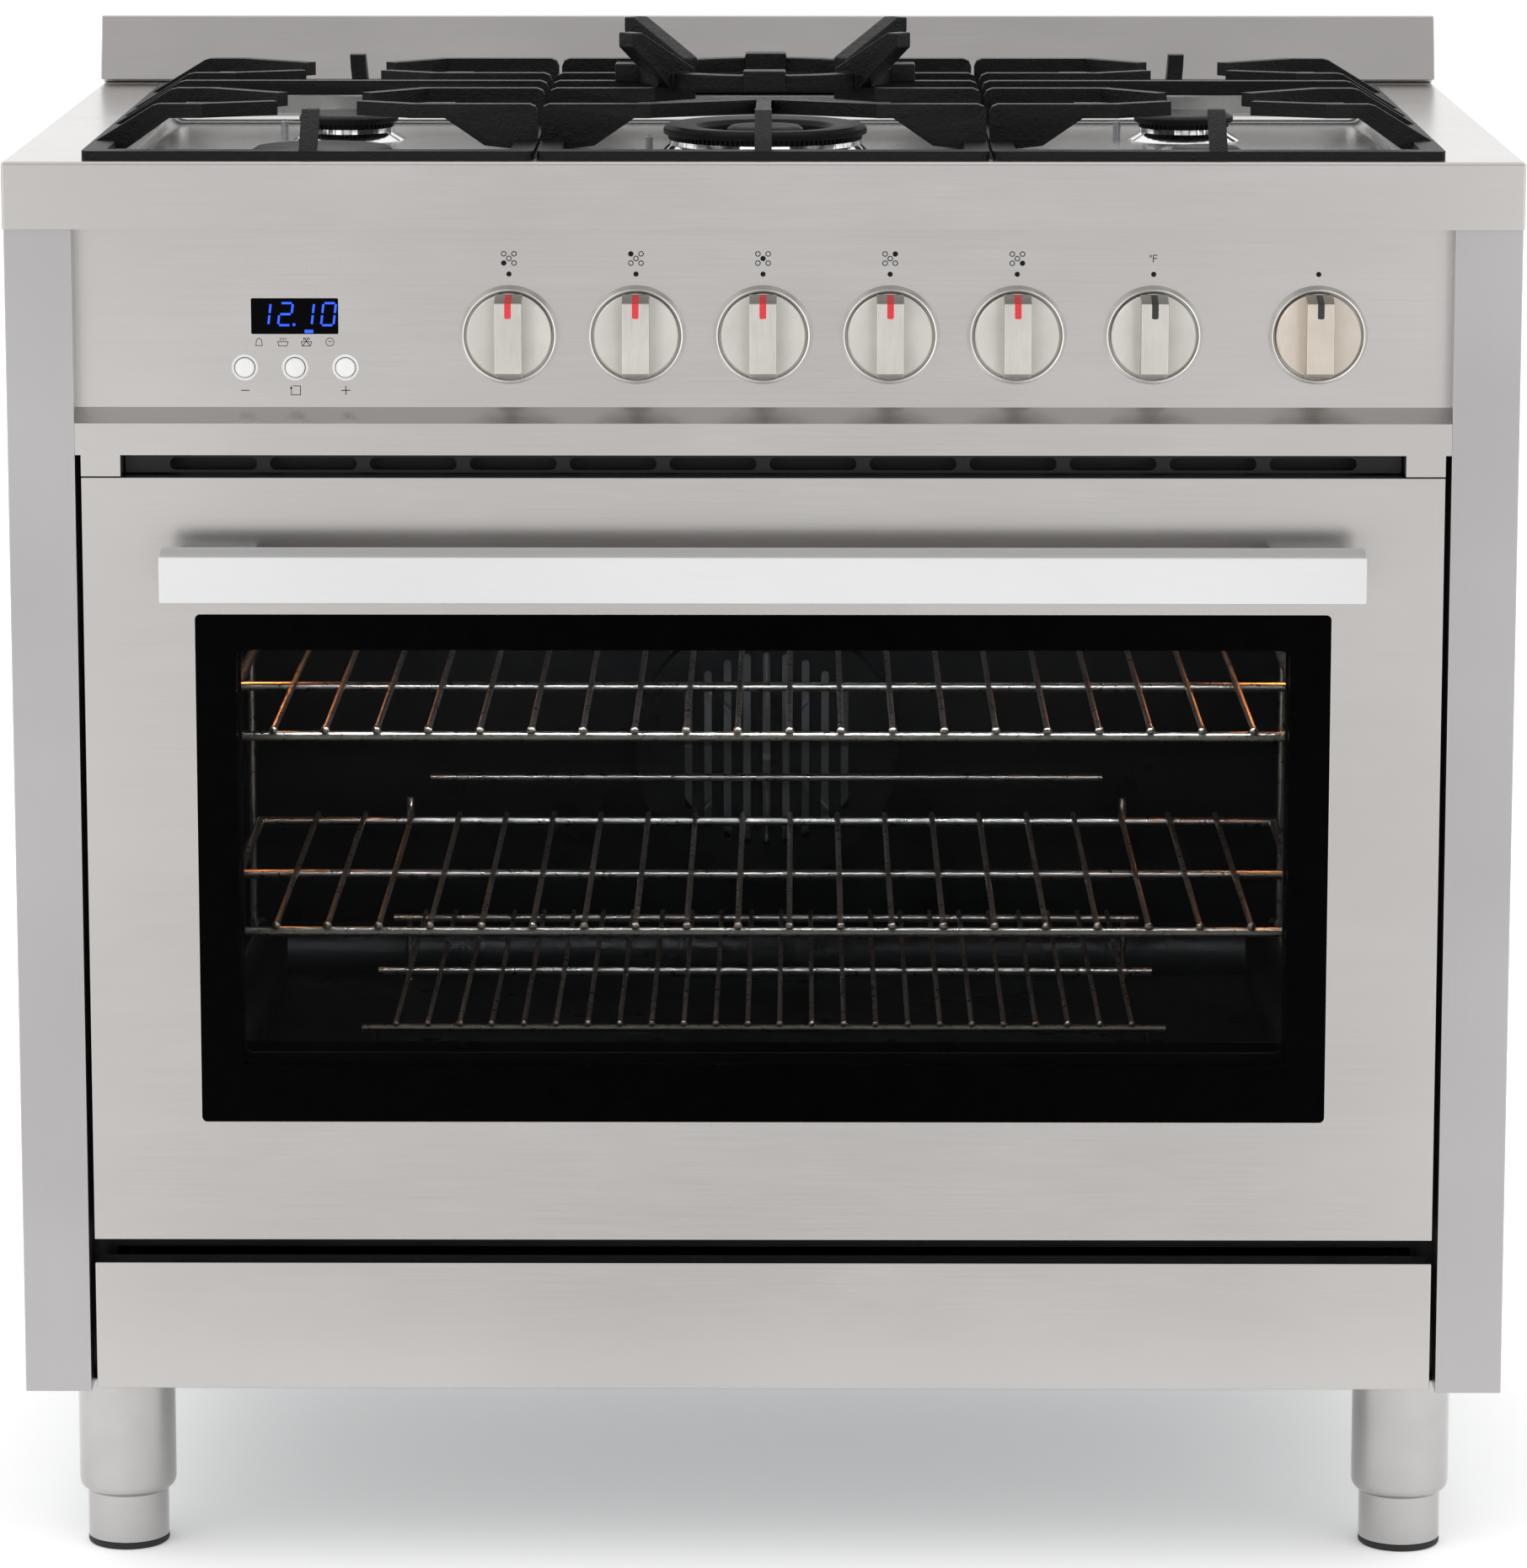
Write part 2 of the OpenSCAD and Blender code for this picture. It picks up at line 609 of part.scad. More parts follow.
// ring of pipe in the floor space, and a straight grill burner under the roof
module oven_burners() color("#9a9b9d") in_place() {
  z = cavity_z + 18;
  y0 = cavity_y + 90;
  y1 = cavity_back - 90;
  for (y = [y0, y1]) bar([-200, y, z], [200, y, z], 8);
  for (x = [-200, 200]) bar([x, y0, z], [x, y1, z], 8);
  for (x = [-200, 200], y = [y0, y1]) translate([x, y, z]) sphere(r = 8.05);
  for (x = [-200, 200]) bar([x, y1, cavity_z], [x, y1, z], 5);
  top = cavity_top - 26;
  for (x = [-110, 110]) bar([x, y0, top], [x, y1, top], 9);
  for (y = [y0, y1]) bar([-110, y, top], [110, y, top], 9);
  for (x = [-110, 110], y = [y0, y1]) translate([x, y, top]) sphere(r = 9.05);
  for (x = [-110, 110]) bar([x, y1, top], [x, y1, cavity_top], 5);
}

module oven_lamps() color("#f3e7c8") in_place() both_sides() {
  peg(lamp_x, lamp_z, cavity_back - 12, cavity_back, lamp_r + 3);
  peg(lamp_x, lamp_z, cavity_back - 1, cavity_back + wool_t, lamp_r);
}

// ---- door

// room for the hinge receiver, over the whole swing of the door
module hinge_notch() both_sides()
  span([hinge_x - 3, pivot.x - 8, door_z - 1], [hinge_x + arm_t + 9, door_back + 1, pivot.y + 8]);

module door_skin() color("#bdbcba") in_place() difference() {
  span([-door_x, front_set, door_z], [door_x, door_back - 4, door_top]);
  span([-door_x + sheet, front_set + sheet, door_z + sheet], [door_x - sheet, door_back, door_top - sheet]);
  along_y(front_set - 1, front_set + 5) rounded([-glass_x - 0.4, glass_foot - 0.4],
                                               [glass_x + 0.4, glass_top + 0.4], 3);
  hinge_notch();
}

module door_glass_outer() color("#101012", 0.85) in_place()
  along_y(front_set, front_set + glass_t) rounded([-glass_x, glass_foot], [glass_x, glass_top], 2.6);

module door_liner() color("#2a2a2b") in_place() difference() {
  union() {
    span([-door_x + sheet, door_back - sheet, door_z + sheet],
         [door_x - sheet, door_back, door_top - sheet]);
    difference() {
      span([-door_x + sheet, front_set + 6, door_z + sheet], [door_x - sheet, door_back, door_top - sheet]);
      span([-door_x + 2 * sheet, front_set, door_z + 2 * sheet],
           [door_x - 2 * sheet, door_back - 1, door_top - 2 * sheet]);
    }
    along_y(front_set + glass_t, door_back) difference() {
      rounded([-glass_x - 8, glass_foot - 8], [glass_x + 8, glass_top + 8], 8);
      rounded([-window_x - 11.5, window_foot - 11.5], [window_x + 11.5, window_top + 11.5], 4);
    }
  }
  along_y(0, door_back + 5) rounded([-window_x, window_foot], [window_x, window_top], 4);
  hinge_notch();
}

module door_glass_inner() color("#9fb0b3", 0.35) in_place()
  along_y(door_back - sheet - glass_t, door_back - sheet)
    rounded([-window_x - 11, window_foot - 11], [window_x + 11, window_top + 11], 3);

module door_hinges() color("#8f9092") in_place() both_sides() difference() {
  span([hinge_x, pivot.x - 8, pivot.y - 5.5], [hinge_x + arm_t, door_back - sheet - 1, glass_foot - 12]);
  translate([hinge_x - 1, pivot.x, pivot.y]) rotate([0, 90, 0])
    cylinder(r = pin_r + shaft_gap, h = arm_t + 2);
}

module handle_bar() color("#e4e4e4") in_place() {
  y0 = front_set - handle_out;
  along_x(-handle_x, handle_x) polygon([[y0, handle_top - handle_h], [y0, handle_top - 3.3],
    [y0 + handle_t / 2, handle_top], [y0 + handle_t, handle_top], [y0 + handle_t, handle_top - handle_h]]);
}

module handle_posts() color("#b9babb") in_place() both_sides() {
  x = handle_x - post_in;
  span([x - post_w, front_set - handle_out + handle_t, handle_top - handle_h + 4],
       [x, front_set, handle_top - 5]);
}

// ---- drawer

module drawer_front() color("#bdbcba") in_place() difference() {
  span([-door_x, front_set, drawer_z], [door_x, front_set + 20, drawer_z + drawer_h]);
  span([-door_x + sheet, front_set + sheet, drawer_z + sheet],
       [door_x - sheet, front_set + 21, drawer_z + drawer_h - sheet]);
}

module drawer_box() color("#3a3a3c") in_place() difference() {
  span([-drawer_x, front_set + 20, drawer_z + 3], [drawer_x, drawer_back, drawer_z + drawer_h - 8]);
  span([-drawer_x + sheet, front_set + 20 + sheet, drawer_z + 3 + sheet],
       [drawer_x - sheet, drawer_back - sheet, drawer_z + drawer_h]);
}

module drawer_runners() color("#8f9092") in_place() both_sides() {
  span([drawer_x + slide_gap, cavity_y + 2, leg_h + sheet],
       [runner_x, drawer_back + 10, leg_h + sheet + 42]);
}

// ---- legs

module leg_sleeves() color("#b7b6b4") in_place()
  for (p = leg_spots) translate([p.x, p.y, 0]) rotate_extrude() {
  difference() {
    union() {
      translate([0, foot_show + 6]) square([sleeve_r, leg_h - foot_show - 6]);
      translate([0, foot_show]) square([sleeve_r - 6, 7]);
      translate([sleeve_r - 6, foot_show + 6]) circle(6);
    }
    translate([-sleeve_r, 0]) square([sleeve_r + foot_r + slide_gap, leg_h + 5]);
  }
}

module foot(i) color("#c0bfbd") in_place() translate([leg_spots[i].x, leg_spots[i].y, 0]) {
  cylinder(r = foot_r - 2, h = pad_h);
  translate([0, 0, pad_h - eps]) cylinder(r = foot_r, h = foot_top - pad_h);
}

// ---- grates

// outline of a cross piece's slope on the outer side of a grate
module outer_web(x) along_y(-web_t / 2, web_t / 2) polygon([[x, cook_z], [x, cook_z + 4],
  [x + 36, cook_z + grate_h - 1], [x + 40, cook_z + grate_h], [x + 66, cook_z + grate_h],
  [x + 66, cook_z + grate_h - finger_h], [x + 46, cook_z + grate_h - finger_h], [x + 20, cook_z]]);

// outline of a cross piece's upright plate on the inner side of a grate
module inner_web(x, reach) along_y(-web_t / 2, web_t / 2) polygon([
  [x, cook_z + rail_h], [x, cook_z + grate_h - 5],
  [x - 1.5, cook_z + grate_h - 1.5], [x - 5, cook_z + grate_h], [x - reach, cook_z + grate_h],
  [x - reach, cook_z + grate_h - finger_h], [x - 56, cook_z + grate_h - finger_h],
  [x - 32, cook_z + 2], [x - 14, cook_z]]);

// bent finger tip, from its cross piece towards the burner
module finger(a, b) plate(a, b, web_t, cook_z + grate_h - finger_h, cook_z + grate_h);

module grate_rails() translate([0, 0, cook_z]) linear_extrude(rail_h) difference() {
  rounded([-grate_w / 2, grate_front], [grate_w / 2, grate_back], 5);
  rounded([-grate_w / 2 + rail_w, grate_front + rail_w], [grate_w / 2 - rail_w, grate_back - rail_w], 2);
}

// upright post on the front or rear rail, leaning in over the burner
module grate_post(y, dir) along_x(-post_t / 2, post_t / 2) polygon([[y, cook_z], [y, cook_z + rail_h],
  [y + dir * 30, cook_z + grate_h], [y + dir * 42, cook_z + grate_h],
  [y + dir * 36, cook_z + grate_h - finger_h],
  [y + dir * rail_w, cook_z + 2], [y + dir * rail_w, cook_z]]);

// tip of each cross piece, in front of or behind its burner
function tip_y(i) = [burner_front - 35, burner_front + 26, burner_rear - 38, burner_rear + 26][i];

// side grate drawn for the right-hand side, its outer rail towards +x
module side_grate() mirror([1, 0, 0]) {
  half = grate_w / 2;
  grate_rails();
  for (i = [0:3]) {
    translate([0, web_ys[i], 0]) {
      outer_web(-half);
      inner_web(half, 78);
    }
    finger([-half + 62, web_ys[i]], [-26, tip_y(i)]);
    finger([half - 74, web_ys[i]], [26, tip_y(i)]);
  }
  translate([0, bar_y, 0]) {
    outer_web(-half);
    inner_web(half, 78);
  }
  finger([-half + 62, bar_y], [half - 74, bar_y]);
  grate_post(grate_front, 1);
  grate_post(grate_back, -1);
}

module grate_right() color("#222223") in_place() translate([grate_pitch, 0, 0]) side_grate();

module grate_left() color("#222223") in_place() mirror([1, 0, 0])
  translate([grate_pitch, 0, 0]) side_grate();

module grate_centre() color("#222223") in_place() {
  half = grate_w / 2;
  grate_rails();
  for (y = concat(web_ys, [bar_y])) translate([0, y, 0]) both_sides() inner_web(half, 66);
  for (side = [-1, 1]) {
    finger([side * (half - 62), web_ys[0]], [0, web_ys[0] + 34]);
    finger([side * (half - 62), web_ys[3]], [0, web_ys[3] - 34]);
    finger([side * (half - 62), web_ys[1]], [side * 46, web_ys[1] + 22]);
    finger([side * (half - 62), web_ys[2]], [side * 46, web_ys[2] - 22]);
    finger([side * (half - 64), bar_y], [side * 56, bar_y]);
  }
  finger([0, grate_front + 34], [0, web_ys[0] + 34]);
  finger([0, grate_back - 34], [0, web_ys[3] - 34]);
  grate_post(grate_front, 1);
  grate_post(grate_back, -1);
}

module wok_ring() color("#1f1f20") in_place() translate([0, burners[2].y, cook_z + grate_h]) {
  difference() {
    cylinder(r = wok_r + 12, h = 9);
    translate([0, 0, -1]) cylinder(r = wok_r, h = 11);
  }
  for (a = [40, 140, 220, 320]) rotate([0, 0, a]) translate([0, 7, 0]) rotate([90, 0, 0]) linear_extrude(14)
    polygon([[wok_r + 2, 0], [wok_r + 14, 0], [wok_r + 44, wok_h - 9], [wok_r + 44, wok_h],
             [wok_r + 36, wok_h], [wok_r - 6, 11], [wok_r - 6, 5], [wok_r + 2, 5]]);
  for (a = [0, 180]) rotate([0, 0, a]) span([wok_r + 6, -10, 0], [wok_r + 26, 10, 11]);
  for (a = [90, 270]) rotate([0, 0, a]) span([wok_r - 4, -13, 0], [wok_r + 14, 13, 12]);
}

// ---- burners

module burner_cups() color("#a9aaac") in_place() for (b = burners) {
  translate([b.x, b.y, 0]) difference() {
    union() {
      translate([0, 0, well_z - 40]) cylinder(r = b[3] - 6, h = 40);
      translate([0, 0, well_z - sheet - 3]) cylinder(r = b[3] + 3, h = 3);
    }
    translate([0, 0, well_z - 20]) cylinder(r = b[3] - 9, h = 30);
  }
  translate([spark(b).x, spark(b).y, well_z - 12]) cylinder(r = spark_r, h = 24);
}

// chrome ring that flares down to the well, with flame ports left to the cap's edge
module crown(b, deep) translate([b.x, b.y, 0]) rotate_extrude() polygon([
  [spigot_r, well_z], [b[4], well_z], [b[4], well_z + 1.5], [b[3], well_z + crown_h - 3],
  [b[3], well_z + crown_h + deep], [b[3] - 5, well_z + crown_h + deep], [b[3] - 8, well_z + crown_h],
  [spigot_r, well_z + crown_h]]);

module ring_crown(b) translate([b.x, b.y, 0]) rotate_extrude() polygon([
  [spigot_r, well_z], [b[4], well_z], [b[4], well_z + 1.5], [b[3], well_z + crown_h - 3],
  [b[3], well_z + crown_h + 3], [42, well_z + crown_h + 3], [40, well_z + 6], [28, well_z + 6],
  [22, well_z + crown_h + 3], [spigot_r, well_z + crown_h + 3]]);

module burner_crowns() color("#d6d7d9") in_place() {
  for (i = [0, 1, 3, 4]) crown(burners[i], 0);
  ring_crown(burners[2]);
}

module cap(i) color("#1c1c1d") in_place() translate([burners[i].x, burners[i].y, well_z + crown_h]) {
  r = burners[i][2];
  rotate_extrude() polygon([[0, 0], [r, 0], [r, cap_h - 2.5], [r - 3, cap_h - 0.6],
    [r * 0.6, cap_h], [0, cap_h]]);
  translate([0, 0, -8]) cylinder(r = spigot_r - slide_gap, h = 8 + eps);
}

// outer ring and middle button of the wok burner
module cap_centre() color("#1c1c1d") in_place()
  translate([burners[2].x, burners[2].y, well_z + crown_h + 3]) {
  r = burners[2][2];
  rotate_extrude() polygon([[41, 0], [r, 0], [r, cap_h - 2.5], [r - 3, cap_h],
    [44, cap_h - 1], [41, cap_h - 4]]);
  rotate_extrude() polygon([[0, 0], [24, 0], [24, cap_h - 3], [21, cap_h - 1], [0, cap_h - 0.5]]);
  translate([0, 0, -8]) cylinder(r = spigot_r - slide_gap, h = 8 + eps);
}

// ---- gas and controls

// valve body with the spindle that its knob turns on
module valve(x) {
  peg(x, knob_z, spindle_y, valve_y, spindle_r);
  span([x - 14, face_y + 16, knob_z - 16], [x + 14, valve_y, knob_z + 14]);
  peg(x, knob_z, face_y + sheet + 1, face_y + 17, 8);
}

module gas_rail() color("#b59a55") in_place() {
  y = valve_y + pipe_r - 1;
  for (x = all_knobs) valve(x);
  bar([knob_xs[0] - 24, y, inlet_z], [inlet_x, y, inlet_z], pipe_r);
  translate([inlet_x, y, inlet_z]) sphere(r = pipe_r + 0.1);
  bar([inlet_x, y, inlet_z], [inlet_x, inlet_y + eps, inlet_z], pipe_r);
  peg(inlet_x, inlet_z, inlet_y, inlet_y + inlet_l, inlet_r);
}

module display_module() color("#0e0f12") in_place() {
  span([-clock_x - 46, module_y, lip_z + 34], [-clock_x + 46, face_y + 14, lip_z + 100]);
  along_y(face_y - 0.4, face_y + sheet + 1) rounded(
    [-clock_x - display_size.x / 2, display_z - display_size.y / 2],
    [-clock_x + display_size.x / 2, display_z + display_size.y / 2], 0.9);
}

module knob_bezels() color("#c9c9c8") in_place() {
  for (x = all_knobs) along_y(bezel_y, face_y) translate([x, knob_z]) difference() {
    circle(bezel_r);
    circle(knob_r + 1.2);
  }
  for (x = button_xs) along_y(face_y - 1.2, face_y) translate([x, button_z]) difference() {
    circle(8);
    circle(button_r + slide_gap);
  }
}

module button(i) color("#efefed") in_place() difference() {
  peg(button_xs[i], button_z, face_y - 3, module_y - button_travel - slide_gap, button_r);
  peg(button_xs[i], button_z, face_y - 8 - 2.6, face_y - 2.6, 3.5);
}

// round body with a grip bar across it, bored for its spindle
module knob(i) color("#b3afaa") in_place() difference() {
  x = all_knobs[i];
  half = knob_r - 0.5;
  union() {
    peg(x, knob_z, dial_y, face_y - 1, knob_r);
    along_x(x - grip_w / 2, x + grip_w / 2) polygon([
      [dial_y + 1, knob_z - half], [grip_y, knob_z - half + grip_lean],
      [grip_y, knob_z + half - grip_lean], [dial_y + 1, knob_z + half]]);
  }
  peg(x, knob_z, spindle_y - 1, face_y + 1, spindle_r + shaft_gap);
}

worktop();
backguard();
side_panel_left();
side_panel_right();
rear_panel();
base_pan();
front_frame();
control_panel();
oven_cavity();
oven_floor();
insulation();
door_seal();
rack_ladders();
rack_upper();
rack_lower();
broiler_tray();
fan_cover();
fan_blade();
fan_motor();
oven_burners();
oven_lamps();
door_skin();
door_glass_outer();
door_liner();
door_glass_inner();
door_hinges();
handle_bar();
handle_posts();
drawer_front();
drawer_box();
drawer_runners();
leg_sleeves();
foot(0);  // foot_front_left
foot(1);  // foot_front_right
foot(2);  // foot_rear_left
foot(3);  // foot_rear_right
grate_left();
grate_centre();
grate_right();
wok_ring();
burner_cups();
burner_crowns();
cap(0);  // cap_front_left
cap(1);  // cap_rear_left
cap_centre();
cap(3);  // cap_rear_right
cap(4);  // cap_front_right
gas_rail();
display_module();
knob_bezels();
button(0);  // button_minus
button(1);  // button_mode
button(2);  // button_plus
knob(0);  // knob_1
knob(1);  // knob_2
knob(2);  // knob_3
knob(3);  // knob_4
knob(4);  // knob_5
knob(5);  // knob_6
knob(6);  // knob_7
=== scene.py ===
import json
import math
import bmesh
import bpy
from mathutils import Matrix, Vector


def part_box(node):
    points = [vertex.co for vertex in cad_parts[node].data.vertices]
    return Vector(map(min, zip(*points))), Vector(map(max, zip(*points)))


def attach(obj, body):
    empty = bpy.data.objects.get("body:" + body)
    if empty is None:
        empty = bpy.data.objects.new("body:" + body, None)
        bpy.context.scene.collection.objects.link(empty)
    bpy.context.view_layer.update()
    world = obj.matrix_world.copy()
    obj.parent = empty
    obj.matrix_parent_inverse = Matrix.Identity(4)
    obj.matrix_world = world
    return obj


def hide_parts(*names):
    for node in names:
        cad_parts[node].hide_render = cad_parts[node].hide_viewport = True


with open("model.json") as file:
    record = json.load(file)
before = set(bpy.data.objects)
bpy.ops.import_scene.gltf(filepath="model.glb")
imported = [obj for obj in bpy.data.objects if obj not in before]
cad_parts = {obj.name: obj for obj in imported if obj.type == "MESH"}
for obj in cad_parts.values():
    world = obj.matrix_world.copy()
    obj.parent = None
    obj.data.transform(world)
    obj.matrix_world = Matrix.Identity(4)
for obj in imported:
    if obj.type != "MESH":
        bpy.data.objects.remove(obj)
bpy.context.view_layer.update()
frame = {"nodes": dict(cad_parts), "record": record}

mm = 0.001
scene = bpy.context.scene
record = frame["record"]
bodyOf = {node: body for body, nodes in record["behaviour"]["bodies"].items() for node in nodes}
burnerNames = ("front_left", "rear_left", "centre", "rear_right", "front_right")
legNames = ("front_left", "front_right", "rear_left", "rear_right")
buttonNames = ("minus", "mode", "plus")
knobCount = 7


def middle(node):
    return (low(node) + high(node)) / 2


def low(node):
    return Vector(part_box(node)[0])


def high(node):
    return Vector(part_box(node)[1])


# ---- colours and nodes

def hexColour(code):
    # sRGB hex to linear
    parts = [int(code[i:i + 2], 16) / 255 for i in (1, 3, 5)]
    return tuple(c / 12.92 if c <= 0.04045 else ((c + 0.055) / 1.055) ** 2.4 for c in parts) + (1.0,)


def feed(tree, node, inputs):
    # sets a node's sockets to values, or links them to other nodes
    for name, value in inputs.items():
        if isinstance(value, bpy.types.NodeSocket):
            tree.links.new(value, node.inputs[name])
        else:
            node.inputs[name].default_value = value


def addNode(tree, kind, inputs=None, **settings):
    # a node with its settings, its values and its links
    made = tree.nodes.new(kind)
    for name, value in settings.items():
        setattr(made, name, value)
    feed(tree, made, inputs or {})
    return made


def startMaterial(name):
    # new node material with its shader, and the piece's own coordinates in metres
    made = bpy.data.materials.new(name)
    made.use_nodes = True
    tree = made.node_tree
    tree.nodes.clear()
    out = addNode(tree, "ShaderNodeOutputMaterial")
    shader = addNode(tree, "ShaderNodeBsdfPrincipled")
    feed(tree, out, {0: shader.outputs[0]})
    where = addNode(tree, "ShaderNodeTexCoord").outputs["Object"]
    return made, tree, shader, where


def stretchedNoise(tree, where, sizes, detail=3.0, rough=0.5):
    # noise whose grains are sizes = (x, y, z) millimetres long
    scale = tuple(1 / (s * mm) for s in sizes)
    stretched = addNode(tree, "ShaderNodeMapping", {"Vector": where, "Scale": scale})
    return addNode(tree, "ShaderNodeTexNoise", {"Vector": stretched.outputs[0], "Scale": 1.0,
                                                "Detail": detail, "Roughness": rough}).outputs["Fac"]


def spread(tree, source, low, high, start=0.3, end=0.7):
    # maps a pattern onto the values low to high
    return addNode(tree, "ShaderNodeMapRange", {"Value": source, "From Min": start, "From Max": end,
                                                "To Min": low, "To Max": high}).outputs[0]


def joined(tree, operation, one, two):
    return addNode(tree, "ShaderNodeMath", {0: one, 1: two}, operation=operation).outputs[0]


def blendColours(tree, factor, one, two):
    # mix of two hex colours
    mixed = addNode(tree, "ShaderNodeMix", {0: factor}, data_type="RGBA")
    colourInputs, colourOutput = (6, 7), 2  # the mix node's colour sockets come after its number ones
    for socket, code in zip(colourInputs, (one, two)):
        mixed.inputs[socket].default_value = hexColour(code)
    return mixed.outputs[colourOutput]


def bumped(tree, height, distance, strength=1.0):
    return addNode(tree, "ShaderNodeBump", {"Height": height, "Distance": distance * mm,
                                            "Strength": strength}).outputs[0]


# ---- materials

def brushedSteel(name, look):
    # austenitic stainless sheet, belt-brushed: a satin sheen drawn out across the grain, faintly cloudy
    made, tree, shader, where = startMaterial(name)
    grain = stretchedNoise(tree, where, look["grain"], 2.0, 0.6)
    cloud = stretchedNoise(tree, where, (260, 260, 180), 2.0, 0.45)
    smears = stretchedNoise(tree, where, (90, 60, 30), 3.0, 0.6)
    tone = joined(tree, "ADD", spread(tree, cloud, 0.0, 0.75), spread(tree, grain, 0.0, look["streak"]))
    rough = joined(tree, "ADD", spread(tree, grain, look["rough"] - 0.01, look["rough"] + 0.01),
                   spread(tree, smears, 0.0, 0.02, 0.45, 0.7))
    tangent = addNode(tree, "ShaderNodeTangent", direction_type="UV_MAP", uv_map="grain")
    feed(tree, shader, {
        "Base Color": blendColours(tree, tone, look["dark"], look["light"]), "Roughness": rough,
        "Normal": bumped(tree, grain, 0.01, look["bump"]), "Tangent": tangent.outputs[0],
        "Anisotropic": look["drawn"], "Metallic": look.get("metal", 1.0)})
    return made


def blackEnamel(name, look):
    # vitreous enamel on steel: deep gloss over a faint orange peel
    made, tree, shader, where = startMaterial(name)
    peel = stretchedNoise(tree, where, (2.4, 2.4, 2.4), 2.0, 0.5)
    dust = stretchedNoise(tree, where, (60, 60, 60), 4.0, 0.6)
    feed(tree, shader, {
        "Base Color": blendColours(tree, spread(tree, dust, 0.0, 1.0), look["dark"], look["light"]),
        "Roughness": spread(tree, dust, look["rough"] - 0.05, look["rough"] + 0.08),
        "Normal": bumped(tree, peel, look["peel"], 0.4), "Specular IOR Level": look["shine"]})
    return made


def castIron(name, look):
    # sand-cast iron under satin enamel: pebbled skin, with a painted highlight that makes it paler along its
    # convex edges
    made, tree, shader, where = startMaterial(name)
    sand = stretchedNoise(tree, where, (1.5, 1.5, 1.5), 2.0, 0.6)
    lumps = stretchedNoise(tree, where, (4.5, 4.5, 4.5), 2.0, 0.5)
    height = joined(tree, "ADD", sand, lumps)
    edgeConvexity = addNode(tree, "ShaderNodeNewGeometry").outputs["Pointiness"]
    # painted highlight: the sharpest convex edges take the paler edge colour
    edge = spread(tree, edgeConvexity, 0.0, 1.0, 0.51, 0.58)
    feed(tree, shader, {
        "Base Color": blendColours(tree, edge, look["dark"], look["edge"]),
        "Roughness": spread(tree, sand, look["rough"] - 0.08, look["rough"] + 0.12),
        "Normal": bumped(tree, height, look["sand"], 0.9), "Specular IOR Level": look["shine"]})
    return made


def platedMetal(name, look):
    # plated or turned metal: hair-fine scratches and soft tarnish over an even sheen
    made, tree, shader, where = startMaterial(name)
    scratch = stretchedNoise(tree, where, look["grain"], 3.0, 0.6)
    haze = stretchedNoise(tree, where, (24, 24, 24), 3.0, 0.5)
    feed(tree, shader, {
        "Base Color": blendColours(tree, spread(tree, haze, 0.0, 1.0), look["dark"], look["light"]),
        "Roughness": spread(tree, scratch, look["rough"] * 0.8, look["rough"] * 1.25),
        "Normal": bumped(tree, scratch, 0.01, look["scratch"]), "Metallic": 1.0})
    return made


def mouldedPlastic(name, look):
    # moulded plastic, rubber or ink: dull sheen over a fine mould texture
    made, tree, shader, where = startMaterial(name)
    skin = stretchedNoise(tree, where, (0.8, 0.8, 0.8), 2.0, 0.5)
    patch = stretchedNoise(tree, where, (30, 30, 30), 3.0, 0.5)
    feed(tree, shader, {
        "Base Color": blendColours(tree, spread(tree, patch, 0.0, 1.0), look["dark"], look["light"]),
        "Roughness": spread(tree, patch, look["rough"] - 0.05, look["rough"] + 0.07),
        "Normal": bumped(tree, skin, look["skin"], 0.5), "Specular IOR Level": look["shine"]})
    return made


def temperedGlass(name, look):
    # float glass, tempered: a hard mirror skin with very slight waves and fine dust
    made, tree, shader, where = startMaterial(name)
    wave = stretchedNoise(tree, where, (120, 120, 90), 2.0, 0.4)
    dust = stretchedNoise(tree, where, (18, 18, 18), 4.0, 0.7)
    feed(tree, shader, {
        "Base Color": blendColours(tree, spread(tree, dust, 0.0, 1.0), look["dark"], look["light"]),
        "Roughness": spread(tree, dust, look["rough"], look["rough"] + 0.03),
        "Normal": bumped(tree, wave, 0.05, 0.15),
        "Alpha": look["alpha"], "Specular IOR Level": look["shine"]})
    return made


def glowing(name, look):
    # lit numerals and lamp glass: a steady glow with a slightly uneven face
    made, tree, shader, where = startMaterial(name)
    uneven = stretchedNoise(tree, where, (6, 6, 6), 2.0, 0.5)
    colour = blendColours(tree, uneven, look["dark"], look["light"])
    feed(tree, shader, {"Base Color": colour, "Emission Color": colour, "Emission Strength": look["glow"],
                        "Roughness": spread(tree, uneven, 0.3, 0.45)})
    return made


def glassWool(name, look):
    # needled glass wool: matted fibres in two yellows
    made, tree, shader, where = startMaterial(name)
    fibre = stretchedNoise(tree, where, (3, 3, 40), 5.0, 0.7)
    tuft = stretchedNoise(tree, where, (25, 25, 25), 4.0, 0.6)
    feed(tree, shader, {
        "Base Color": blendColours(tree, spread(tree, tuft, 0.0, 1.0), look["dark"], look["light"]),
        "Roughness": spread(tree, fibre, 0.8, 1.0), "Normal": bumped(tree, fibre, 1.2, 0.8)})
    return made


